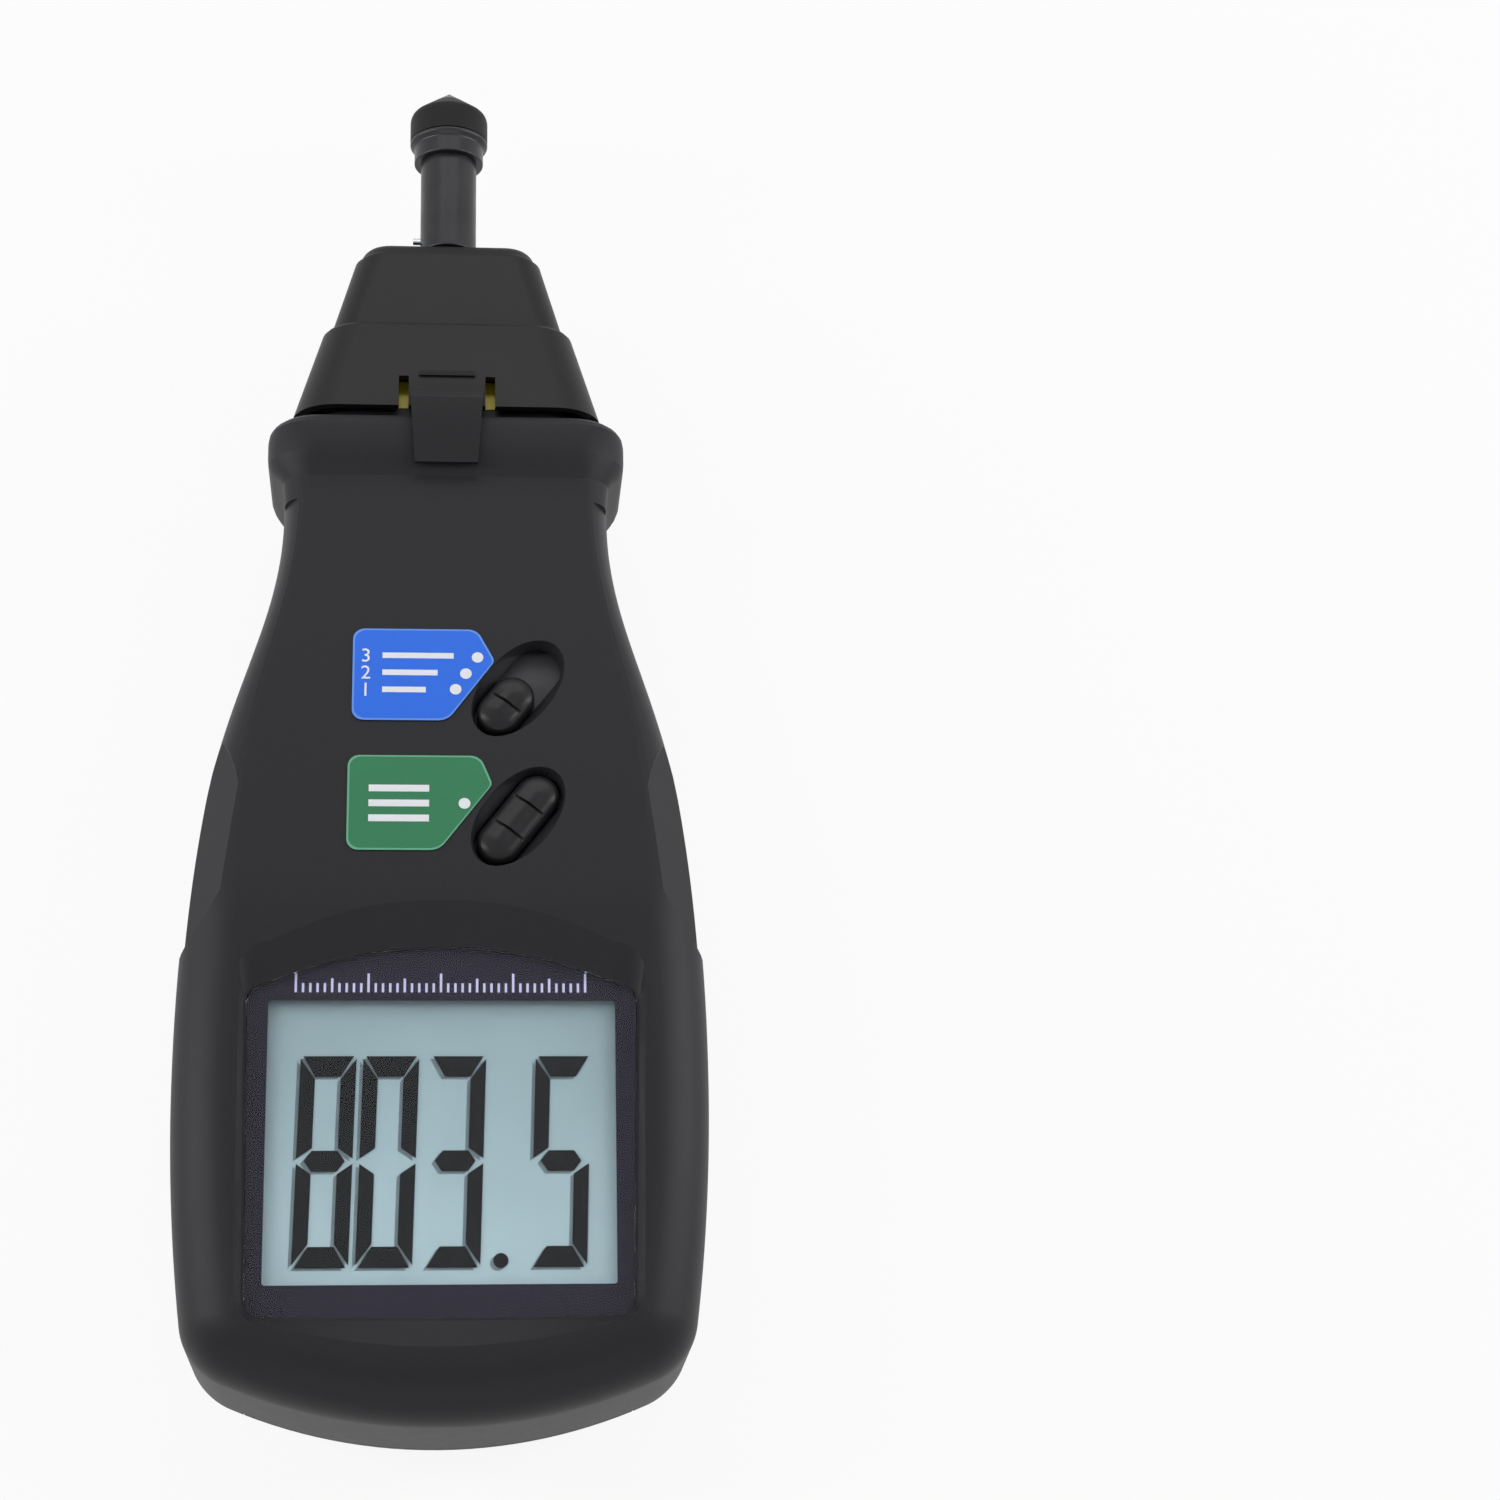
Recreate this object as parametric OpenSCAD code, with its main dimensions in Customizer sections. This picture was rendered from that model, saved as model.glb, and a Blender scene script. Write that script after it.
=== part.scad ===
// Handheld contact tachometer with its clip-on contact adapter, lying on its back.
// X runs across, Y towards the contact tip, Z out of the display.
// Lengths along the meter are counted from its bottom end and moved to the origin at the end.

/* [Body] */
// Width of the body at its widest point
belly_w = 72; // [70:0.5:76]
// Distance of the widest point from the bottom end
belly_s = 45; // [42:1:48]
// Thickness of the body at the display
body_t = 37; // [36.5:0.5:40]
// Length from the bottom end to the top of the finger flange
body_l = 143; // [142:0.5:148]
// Width of the neck under the flange
neck_w = 46; // [45:0.5:48]
// How far the front face falls from the display to the neck
neck_drop = 5.5; // [4:0.5:6]
// How far the back face rises from the battery cover to the neck
neck_rise = 5.5; // [4:0.5:6]
// Radius of the curved bottom end
end_r = 72; // [60:2:90]
// Radius of the bottom corners
corner_r = 9.5; // [9.5:0.5:12]
// Thickness of the case walls
wall = 2; // [1.8:0.1:2.2]
// Height of the seam between the front and rear shells
seam_z = 15; // [14:0.5:15.5]
// Width of the rounded front edge at the belly
front_edge = 8; // [6:0.5:8.5]
// Width of the rounded rear edge at the belly
rear_edge = 6.5; // [5:0.5:7]
// Width of the rounded edges at the neck
neck_edge = 3.5; // [2.5:0.5:4]
// Height of the rounded front edge
front_edge_h = 9; // [7:0.5:10]
// Height of the rounded rear edge
rear_edge_h = 8; // [6:0.5:8]

/* [Flange and nose] */
// Width of the finger flange
flange_w = 51; // [50:0.5:53]
// Thickness of the finger flange, front to back
flange_t = 28; // [27.5:0.5:28.5]
// Length of the sensor nose in front of the flange
nose_l = 14; // [12:0.5:14]
// Width of the nose where it leaves the flange
nose_w = 38; // [36:0.5:39]
// Thickness of the nose where it leaves the flange
nose_t = 20; // [18:0.5:20.5]
// Width of the nose at its tip
nose_tip_w = 29; // [26:0.5:30]
// Thickness of the nose at its tip
nose_tip_t = 12.6; // [12:0.2:13]
// Thickness of the nose walls
nose_wall = 1.5; // [1.2:0.1:1.6]

/* [Display] */
// Width of the clear display lens
lens_w = 52; // [50:0.5:52]
// Lower edge of the lens, from the bottom end
lens_s = 13.4; // [13:0.2:15]
// Length of the lens at its sides
lens_l = 44.6; // [43:0.2:46]
// Rise of the lens's arched upper edge
lens_rise = 5; // [3:0.5:6]
// Depth of the display recess
recess_depth = 1.6; // [1.2:0.1:1.8]
// Thickness of the lens
lens_t = 1.4; // [1:0.1:1.5]
// Thickness of the printed border behind the lens
border_t = 0.25; // [0.2:0.05:0.3]
// Width of the display window in the border
view_w = 46.2; // [44:0.2:47]
// Height of the display window in the border
view_l = 38.2; // [36:0.2:39]
// Lower edge of the display window, from the bottom end
view_s = 17.7; // [17.2:0.1:18.2]
// Thickness of the liquid crystal panel
panel_t = 2.2; // [1.8:0.1:2.4]
// Height of one displayed digit
digit_h = 28.4; // [26:0.2:30]
// Width of one displayed digit
digit_w = 7.4; // [7:0.1:8.4]
// Width of one display segment
segment_w = 2; // [1.8:0.1:2.5]

/* [Controls] */
// Distance of the mode slider's recess from the bottom end
mode_s = 100.6; // [100:0.2:101.5]
// Distance of the memory button's recess from the bottom end
memory_s = 81.4; // [80:0.2:82]
// Distance of both recesses from the centre line
control_x = 10.1; // [9.8:0.1:10.8]
// Angle of the slanted recesses from the centre line
control_angle = 37; // [34:1:40]
// Length of a control recess
control_l = 17; // [16.6:0.2:17.4]
// Width of a control recess
control_w = 10; // [9.8:0.2:10.4]
// Depth of a control recess
control_depth = 1.8; // [1.6:0.1:2]
// Width of the slot through the front shell in each recess
slot_w = 6.7; // [6.4:0.1:7]
// Length of the slider's knob
knob_l = 9.2; // [8.6:0.1:9.4]
// Travel of the slider between its two end positions
mode_travel = 5.6; // [5:0.1:5.8]
// Travel of the memory button
memory_travel = 0.8; // [0.5:0.1:0.9]
// Distance of the side button from the bottom end
measure_s = 101; // [100:0.5:102]
// Length of the side button
measure_l = 8; // [7:0.5:9]
// Height of the side button
measure_h = 4.4; // [4:0.2:4.8]
// Travel of the side button
measure_travel = 1; // [0.6:0.1:1.1]

/* [Battery bay] */
// Diameter of one battery cell
cell_d = 14.2; // [13.6:0.1:14.3]
// Length of one battery cell
cell_l = 50; // [49:0.2:50.2]
// Distance between the centres of neighbouring cells
cell_pitch = 14.6; // [14.5:0.05:14.8]
// Centre of the first cell, from the bottom end
cell_s = 16.4; // [16.2:0.1:16.5]
// Width of the battery cover
cover_w = 53; // [52.6:0.2:54]
// Length of the battery cover up to its shoulders
cover_l = 67.8; // [67:0.2:69]
// Rise of the cover's crest above its shoulders
crest_h = 4.6; // [3.5:0.1:5]
// Gap round the battery cover
cover_gap = 0.2; // [0.15:0.05:0.3]
// Travel that frees the battery cover
cover_travel = 20; // [10:1:30]

/* [Adapter] */
// Gap between the flange and the adapter's skirt
skirt_gap = 1.8; // [1.6:0.1:2.2]
// Length of the adapter's skirt
skirt_l = 15; // [14:0.5:15.5]
// Length of the adapter's cap above the skirt
cap_l = 14.5; // [14:0.5:16]
// Width of the skirt at its lower edge
skirt_w = 44.4; // [43.6:0.2:46]
// Thickness of the skirt at its lower edge, front to back
skirt_t = 24.4; // [24:0.2:25]
// Width of the skirt at its upper edge
skirt_top_w = 36; // [35.6:0.2:37]
// Thickness of the skirt at its upper edge
skirt_top_t = 17.4; // [17:0.2:18]
// Step from the skirt in to the cap
step_in = 1; // [0.8:0.1:1.1]
// Width of the cap's flat top
cap_top_w = 26; // [24:0.5:28]
// Thickness of the cap's top
cap_top_t = 11.6; // [11.4:0.2:12.4]
// Thickness of the adapter's walls
hood_wall = 1.4; // [1.2:0.1:1.5]
// Width of the two spring clips
clip_w = 10.4; // [9.6:0.2:11]
// Width of the slots beside the clips
clip_slot = 1.4; // [1:0.1:1.6]
// Length of the clip below the skirt's lower edge
clip_l = 10; // [9:0.2:10.4]

/* [Spindle and tip] */
// Diameter of the steel spindle
spindle_d = 4; // [3.6:0.1:4.2]
// Outer diameter of the bearings
bearing_d = 7; // [6.8:0.1:7.2]
// Width of a bearing
bearing_l = 2.5; // [2:0.1:2.6]
// Outer diameter of the extension tube
tube_d = 8.3; // [8:0.1:8.6]
// Length of the extension tube
tube_l = 15.3; // [13:0.1:20]
// Diameter of the drive pin
pin_d = 1; // [0.8:0.1:1.2]
// How far the drive pin stands out of the tube
pin_out = 1.1; // [0.8:0.1:1.4]
// Diameter of the ring on the tip holder
ring_d = 10.3; // [9.6:0.1:10.6]
// Length of the ring on the tip holder
ring_l = 2.6; // [2.2:0.1:3]
// Diameter of the rubber tip
tip_d = 11.6; // [11.2:0.1:12]
// Length of the rubber tip's straight side
tip_side_l = 3.6; // [3:0.1:4.5]
// Length of the collar under the rubber tip
collar_l = 1; // [0.8:0.1:1.4]
// Radius of the steel point at its base
point_r = 2.4; // [2:0.1:2.6]
// Half angle of the conical tip
cone_angle = 52; // [48:1:56]
// Diameter of the reflective disc on the spindle's inner end
disc_d = 11; // [10:0.2:11.4]

/* [Hidden] */
$fn = 48;

// Clearances that pieces share
fit_gap = 0.05;
part_gap = 0.3;
eps = 0.01;

// Places along the meter, from the bottom end
axis_z = body_t / 2;
slope_s = 70;
neck_s = body_l - 14;
flange_s = body_l;
nose_s = flange_s + nose_l;
skirt_s = flange_s + skirt_gap;
step_s = skirt_s + skirt_l;
hood_s = step_s + cap_l;
tube_s = hood_s + 0.5;
pin_s = tube_s + 2.4;
ring_s = tube_s + tube_l;
collar_s = ring_s + ring_l;
rubber_s = collar_s + collar_l;
shoulder_s = rubber_s + tip_side_l;
shoulder_r = 0.9;
cone_base_r = tip_d / 2 - shoulder_r / 2;
cone_s = shoulder_s + shoulder_r;
apex_s = cone_s + cone_base_r / tan(cone_angle);
total_l = apex_s;

// Radius of curvature of the body's side below the belly
side_r = 250;
// Points along each stretch of the outline
END_STEPS = 4;
CORNER_STEPS = 6;
SIDE_STEPS = 3;
FLARE_STEPS = 11;
EDGE_STEPS = 5;

module place() {
    translate([0, -total_l / 2, 0])
        children();
}

// Cylinder along Y that starts at s, on the spindle axis unless placed elsewhere
module rod(s, length, r, x = 0, z = axis_z) {
    translate([x, s, z])
        rotate([-90, 0, 0])
            cylinder(h = length, r = r);
}

// Closed skin over rings of equal point count
module skin(rings) {
    n = len(rings[0]);
    m = len(rings);
    sides = [for (k = [0:m - 2]) for (i = [0:n - 1])
        [k * n + i, k * n + (i + 1) % n, (k + 1) * n + (i + 1) % n, (k + 1) * n + i]];
    polyhedron(
        points = [for (ring = rings) for (p = ring) p],
        faces = concat(
            [[for (i = [n - 1:-1:0]) i]],
            [for (q = sides) for (t = [[q[0], q[1], q[2]], [q[0], q[2], q[3]]]) t],
            [[for (i = [0:n - 1]) (m - 1) * n + i]]),
        convexity = 10);
}

// Front and back faces as heights over the length
function ease(u) = let (v = max(0, min(1, u))) v * v * (3 - 2 * v);
function fall(s) = max(0, s - slope_s) / (neck_s - slope_s);
function front_z(s) = body_t - neck_drop * fall(s);
function back_z(s) = neck_rise * fall(s);
function edge_w(s, belly_edge) =
    belly_edge + (neck_edge - belly_edge) * ease((s - 60) / (neck_s - 65));

// Right half of the body's outline, from the bottom centre to the neck
function side_half(s) = belly_w / 2 - pow(belly_s - s, 2) / (2 * side_r);
function side_turn(s) = atan((belly_s - s) / side_r);
function corner_at(s) = [side_half(s) - corner_r * cos(side_turn(s)), s + corner_r * sin(side_turn(s))];
function corner_miss(s) = norm(corner_at(s) - [0, end_r]) - (end_r - corner_r);
function settle(low, high, n) = let (mid = (low + high) / 2)
    n == 0 ? mid : corner_miss(mid) > 0 ? settle(mid, high, n - 1) : settle(low, mid, n - 1);
side_s = settle(3, belly_s - 5, 20);
corner_centre = corner_at(side_s);
corner_angle = atan(corner_centre[0] / (end_r - corner_centre[1]));
neck_half = neck_w / 2 + 0.1;
flare_low = 55 / 84 * (neck_s - belly_s);
flare_high = 24 / 84 * (neck_s - belly_s);
function bezier(a, b, c, d, t) =
    pow(1 - t, 3) * a + 3 * pow(1 - t, 2) * t * b + 3 * (1 - t) * t * t * c + pow(t, 3) * d;
half_outline = concat(
    [for (i = [0:END_STEPS - 1]) let (a = corner_angle * i / END_STEPS)
        [end_r * sin(a), end_r * (1 - cos(a))]],
    [for (i = [0:CORNER_STEPS]) let (a = corner_angle - 90 + (90 - corner_angle - side_turn(side_s)) * i / CORNER_STEPS)
        corner_centre + corner_r * [cos(a), sin(a)]],
    [for (i = [1:SIDE_STEPS]) let (s = side_s + (belly_s - side_s) * i / (SIDE_STEPS + 1))
        [side_half(s), s]],
    [for (i = [0:FLARE_STEPS])
        bezier([belly_w / 2, belly_s], [belly_w / 2, belly_s + flare_low],
            [neck_half + 0.5, neck_s - flare_high], [neck_half, neck_s], i / FLARE_STEPS)],
    [[neck_half, neck_s + 4]]);
half_n = len(half_outline);
function tangent(i) =
    i == 0 ? [1, 0] : half_outline[min(i + 1, half_n - 1)] - half_outline[i - 1];
function outward(i) = let (t = tangent(i)) [t[1], -t[0]] / norm(t);
function pulled_in(i, d) = i == half_n - 1
    ? half_outline[i] - [d, 0]
    : half_outline[i] - d * outward(i);

// One level of a shell: the outline pulled in by the edge's curve, at that edge's height
function shell_half(angle, belly_edge, edge_h, side, in) = [for (i = [0:half_n - 1])
    let (
        s = half_outline[i][1],
        edge = max(0.6, edge_w(s, belly_edge) - in),
        pull = in + edge * (1 - cos(angle)),
        face = side > 0 ? front_z(s) - in : back_z(s) + in,
        p = pulled_in(i, pull)
    )
    [p[0], i == half_n - 1 ? p[1] - in : p[1], face - side * max(1, edge_h - in) * (1 - sin(angle))]];
function seam_half(side, in, z) = [for (i = [0:half_n - 1]) let (p = pulled_in(i, in))
    [p[0], i == half_n - 1 ? p[1] - in : p[1], z]];
function mirror_ring(half) =
    concat(half, [for (i = [len(half) - 1:-1:1]) [-half[i][0], half[i][1], half[i][2]]]);

// Half shell as one closed skin: outside, rim and inside, with a flat chamfer inside the front edge
inner_drop = 2.5;
module half_shell(side, belly_edge, edge_h, thickness, rim_z) {
    levels = [for (k = [0:EDGE_STEPS]) 90 * k / EDGE_STEPS];
    outer = concat(
        [seam_half(side, 0, rim_z)],
        [for (a = levels) shell_half(a, belly_edge, edge_h, side, 0)]);
    inner_levels = side > 0 ? [0, 90] : levels;
    inner_edge = side > 0 ? belly_edge + thickness : belly_edge;
    inner_h = side > 0 ? edge_h + thickness + inner_drop : edge_h;
    inner = concat(
        [seam_half(side, thickness, rim_z)],
        [for (a = inner_levels) shell_half(a, inner_edge, inner_h, side, thickness)]);
    m = len(outer);
    last = m + len(inner) - 1;
    n = 2 * half_n - 1;
    rings = concat([for (h = outer) mirror_ring(h)], [for (h = inner) mirror_ring(h)]);
    function at(k, i) = k * n + i % n;
    function wall_quads(k) = [for (i = [0:n - 1]) [at(k, i), at(k, i + 1), at(k + 1, i + 1), at(k + 1, i)]];
    function cap_quads(k) = concat(
        [[at(k, 0), at(k, 1), at(k, n - 1)]],
        [for (i = [1:half_n - 2]) [at(k, i), at(k, i + 1), at(k, n - i - 1), at(k, n - i)]]);
    rim = [for (i = [0:n - 1]) [at(0, i + 1), at(0, i), at(m, i), at(m, i + 1)]];
    outside = concat([for (k = [0:m - 2]) for (q = wall_quads(k)) q], cap_quads(m - 1));
    inside = [for (q = concat([for (k = [m:last - 1]) for (q = wall_quads(k)) q], cap_quads(last)))
        [for (i = [len(q) - 1:-1:0]) q[i]]];
    quads = concat(outside, rim, inside);
    turned = side > 0 ? [for (q = quads) [for (i = [len(q) - 1:-1:0]) q[i]]] : quads;
    triangles = [for (q = turned) for (j = [1:len(q) - 2]) [q[0], q[j], q[j + 1]]];
    polyhedron(points = [for (r = rings) for (p = r) p], faces = triangles, convexity = 10);
}

// Rounded rectangle section across the meter at s, by half width and half thickness
CORNER_POINTS = 5;
function section(s, half_w, half_t, r) = [for (q = [0:3]) for (j = [0:CORNER_POINTS - 1])
    let (
        a = 90 * q + 90 * j / (CORNER_POINTS - 1),
        sx = (q == 0 || q == 3) ? 1 : -1,
        sz = q < 2 ? 1 : -1
    )
    [sx * (half_w - r) + r * cos(a), s, axis_z + sz * (half_t - r) + r * sin(a)]];

// Half of the flange and nose as one closed skin, open towards the body and at the nose's end
neck_half_t = front_z(neck_s) - axis_z;
nose_step = 0.1;
nose_in_w = nose_w / 2 - nose_wall;
nose_in_t = nose_t / 2 - nose_wall;
tip_in_w = nose_tip_w / 2 - nose_wall;
tip_in_t = nose_tip_t / 2 - nose_wall;
band_outer = [
    [neck_s + 1, neck_half - 0.3, neck_half_t - 0.3, 3.5],
    [neck_s + 5, neck_half + 0.3, neck_half_t - 0.2, 4.5],
    [neck_s + 7, flange_w / 2 - 0.5, flange_t / 2 - 0.5, 6.5],
    [neck_s + 9, flange_w / 2, flange_t / 2, 7],
    [flange_s - 2, flange_w / 2, flange_t / 2, 7],
    [flange_s - 0.6, flange_w / 2 - 0.8, flange_t / 2 - 0.7, 6.5],
    [flange_s, flange_w / 2 - 2, flange_t / 2 - 1.8, 6],
    [flange_s + nose_step, nose_w / 2, nose_t / 2, 4.5],
    [nose_s, nose_tip_w / 2, nose_tip_t / 2, 2.4]];
band_inner = [for (b = band_outer) b[0] < nose_s
    ? [b[0], nose_in_w, nose_in_t, 1.5]
    : [b[0], tip_in_w, tip_in_t, 1]];
HALF_POINTS = 2 * CORNER_POINTS;
function half_section(b, side) = let (full = section(b[0], b[1], b[2], b[3]), first = side > 0 ? 0 : HALF_POINTS)
    concat([[side * b[1], b[0], seam_z]], [for (i = [0:HALF_POINTS - 1]) full[first + i]],
        [[-side * b[1], b[0], seam_z]]);
function band_ring(k, side) = let (inner = half_section(band_inner[k], side))
    concat(half_section(band_outer[k], side), [for (i = [len(inner) - 1:-1:0]) inner[i]]);

module nose_band(side) {
    skin([for (k = [0:len(band_outer) - 1]) band_ring(k, side)]);
}

// Arched outline of the lens and its recess, counter-clockwise seen from the front
ARCH_STEPS = 6;
function arch(half_top, half_low, low_s, side_s, rise, sag, r) = concat(
    [for (i = [0:ARCH_STEPS]) let (u = 2 * i / ARCH_STEPS - 1)
        [u * (half_low - r), low_s - sag * (1 - u * u)]],
    [for (a = [-60:30:0]) [half_low - r + r * cos(a), low_s + r + r * sin(a)]],
    [for (a = [0:30:60]) [half_top - r + r * cos(a), side_s - r + r * sin(a)]],
    [for (i = [0:ARCH_STEPS]) let (u = 1 - 2 * i / ARCH_STEPS)
        [u * (half_top - r), side_s + rise * (1 - u * u)]],
    [for (a = [120:30:180]) [-half_top + r + r * cos(a), side_s - r + r * sin(a)]],
    [for (a = [180:30:240]) [-half_low + r + r * cos(a), low_s + r + r * sin(a)]]);
lens_half = lens_w / 2;
lens_top_s = lens_s + lens_l;
lens_corner = 2.6;
recess_rim = 1;
recess_head = 6.3;
recess_foot = 4.2;
function lens_outline(grow) = arch(lens_half + grow, lens_half - 0.7 + grow, lens_s - grow,
    lens_top_s + grow, lens_rise, 0, lens_corner + grow);
recess_outline = arch(lens_half + recess_rim, lens_half - 0.4 + recess_rim, lens_s - 1.2,
    lens_top_s + recess_head - 1, lens_rise + 1, recess_foot - 1.2, lens_corner + 1.4);
function lifted(outline, z) = [for (p = outline) [p[0], p[1], z]];

// Heights of the display's layers, from the lens down to the board and the bay
lens_top_z = body_t - recess_depth;
lens_z = lens_top_z - lens_t;
border_z = lens_z - border_t;
ledge_t = 1.2;
ledge_z = border_z - ledge_t;
segment_t = 0.12;
panel_z = ledge_z - segment_t - 0.1 - panel_t;
board_t = 1.6;
bay_roof_t = 1;
cell_z = wall + part_gap + cell_d / 2;
bay_z = cell_z + cell_d / 2 + part_gap;
bay_top_z = bay_z + bay_roof_t;
board_share = 0.466;
board_z = bay_top_z + board_share * (panel_z - board_t - bay_top_z);
board_top = board_z + board_t;
view_mid_s = view_s + view_l / 2;
panel_w = view_w + 3;
panel_l = view_l + 3;
frame_wall = 1.2;

// The sloping part of the front, with its plane as the local floor
face_angle = atan(neck_drop / (neck_s - slope_s));
back_angle = atan(neck_rise / (neck_s - slope_s));
module on_face(x, s) {
    translate([x, s, front_z(s)])
        rotate([-face_angle, 0, 0])
            children();
}
module slanted(s) {
    on_face(control_x, s)
        rotate([0, 0, -control_angle])
            children();
}
// Point on the board, or at another height, that lies below a control
function below(s, z) = [control_x, s - (front_z(s) - z) * tan(face_angle), z];
function depth_of(s, z) = (front_z(s) - z) / cos(face_angle);

// Rounded bar along the local Y axis, from z up
module bar(length, width, z, height) {
    translate([0, 0, z]) {
        for (y = [-1, 1])
            translate([0, y * (length - width) / 2, 0])
                cylinder(h = height, d = width);
        translate([-width / 2, -(length - width) / 2, 0])
            cube([width, length - width, height]);
    }
}
// Plate centred on the local axis, from z up
module plate(length_x, length_y, z, height) {
    translate([-length_x / 2, -length_y / 2, z])
        cube([length_x, length_y, height]);
}

// Sloping oval recess round a control, with its slot through the shell and the pad under it
OVAL_STEPS = 20;
floor_t = 1.2;
function oval(length, width, z) = [for (i = [0:OVAL_STEPS - 1]) let (a = 360 * i / OVAL_STEPS)
    [width / 2 * cos(a), length / 2 * sin(a), z]];
slot_l = knob_l + mode_travel + 2 * part_gap;
pad_z = -control_depth - floor_t;
module control_cut() {
    skin([
        oval(control_l + 1, control_w + 1, 0.6),
        oval(control_l, control_w, 0),
        oval(slot_l + 0.2, slot_w + 0.2, -control_depth)]);
    bar(slot_l, slot_w, -6, 6);
}
module control_pad() {
    bar(control_l + 2, control_w + 2, pad_z, -pad_z - wall / 2);
}

// Screws: three hold the case together, four hold the board
case_screw_at = [[-17, 5.4], [17, 5.4], [0, cover_l + 2.6]];
board_screw_at = [[-18, 73.5], [19, 73.5], [-17, 109], [3, 114]];
thread_r = 1;
screw_hole_r = 1.3;
screw_head_r = 1.5;
screw_head_t = 1.6;
post_r = 2.4;
screw_bite = 7;
screw_ledge_z = 8.6;
end_post_z = body_t - 6.5;
function at_end(p) = p[1] < cell_s;
function post_low(p) = at_end(p) ? seam_z : bay_top_z;
function post_high(p) = at_end(p) ? end_post_z : body_t - wall / 2;

// Concave finger grips on the sides of the front edge
grip_s = 81.5;
grip_r = 25.7;
grip_half = 27.4;
grip_angle = 57;
module finger_grips() {
    for (side = [0, 1])
        mirror([side, 0, 0])
            intersection() {
                translate([grip_half + grip_r, grip_s, seam_z + 5])
                    cylinder(h = body_t, r = grip_r, $fn = 64);
                translate([grip_half - 0.2, grip_s - grip_r, front_z(grip_s) - 1.2])
                    rotate([0, grip_angle, 0])
                        cube([30, 2 * grip_r, 20]);
            }
}

module front_shell() {
    color("#333335")
        place()
            difference() {
                union() {
                    half_shell(1, front_edge, front_edge_h, wall, seam_z);
                    nose_band(1);
                    translate([0, 0, ledge_z])
                        linear_extrude(body_t - wall / 2 - ledge_z)
                            polygon(lens_outline(frame_wall));
                    translate([0, 0, lens_top_z - 1.4])
                        linear_extrude(body_t - wall / 2 - lens_top_z + 1.4)
                            polygon(recess_outline);
                    for (p = board_screw_at)
                        translate([p[0], p[1], board_top])
                            cylinder(h = front_z(p[1]) - wall / 2 - board_top, r = post_r);
                    for (p = case_screw_at)
                        translate([p[0], p[1], post_low(p) + part_gap])
                            cylinder(h = post_high(p) - post_low(p) - part_gap, r = post_r);
                    slanted(mode_s)
                        control_pad();
                    slanted(memory_s)
                        control_pad();
                }
                skin([
                    lifted(recess_outline, body_t + 0.5),
                    lifted(recess_outline, body_t),
                    lifted(lens_outline(part_gap), lens_top_z)]);
                translate([0, 0, border_z])
                    linear_extrude(body_t - border_z)
                        polygon(lens_outline(fit_gap));
                translate([0, view_mid_s, 0])
                    plate(view_w, view_l, ledge_z - 1, ledge_t + 2);
                slanted(mode_s)
                    control_cut();
                slanted(memory_s)
                    control_cut();
                translate([0, neck_s + 2, 0])
                    plate(2 * nose_in_w - 2, 7, seam_z - 1, axis_z + nose_in_t - seam_z);
                for (p = board_screw_at)
                    translate([p[0], p[1], board_top - 1])
                        cylinder(h = 6, r = thread_r);
                for (p = case_screw_at)
                    translate([p[0], p[1], seam_z])
                        cylinder(h = bay_top_z + screw_bite - seam_z, r = thread_r);
                finger_grips();
            }
}

// Plan of the battery cover, and the bay over it
cover_half = cover_w / 2;
crest_half = 20.4;
COVER_STEPS = 12;
function cover_plan(grow) = concat(
    [[-cover_half - grow, -2], [cover_half + grow, -2], [cover_half + grow, cover_l - 1.5],
        [cover_half - 1.5, cover_l + grow]],
    [for (i = [0:COVER_STEPS]) let (u = 1 - 2 * i / COVER_STEPS)
        [u * crest_half, cover_l + grow + crest_h * (1 + cos(180 * u)) / 2]],
    [[-cover_half + 1.5, cover_l + grow], [-cover_half - grow, cover_l - 1.5]]);
bay_half = cell_l / 2 + 1.6;
bay_wall = 0.9;
bay_low_s = cell_s - cell_d / 2 - part_gap;
bay_high_s = cell_s + 3 * cell_pitch + cell_d / 2 + part_gap;
tail_w = 3;
contact_t = 0.4;
function end_curve(x) = end_r - sqrt(end_r * end_r - x * x);

// Side button: a place on the rear shell's wall whose local X points out of the wall
side_steps = [for (p = half_outline) if (p[1] > belly_s - 1) [p[1], p[0]]];
function flare_half(s) = lookup(s, side_steps);
measure_z = 8;
measure_angle = atan((flare_half(measure_s - 4) - flare_half(measure_s + 4)) / 8);
module on_side() {
    translate([flare_half(measure_s), measure_s, measure_z])
        rotate([0, 0, measure_angle])
            children();
}
// Box on the side wall from x0 to x1, centred on the button's axis
module side_box(x0, x1, length, height) {
    translate([x0, -length / 2, -height / 2])
        cube([x1 - x0, length, height]);
}
button_reach = 3.45;
button_wing = 0.9;
button_proud = 0.6;
switch_size = 5.4;
switch_t = 3.4;
plunger_r = 1;
plunger_sink = 0.8;
side_switch_x = -button_reach - button_wing - measure_travel - part_gap;
bracket_t = 1.4;

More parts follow.
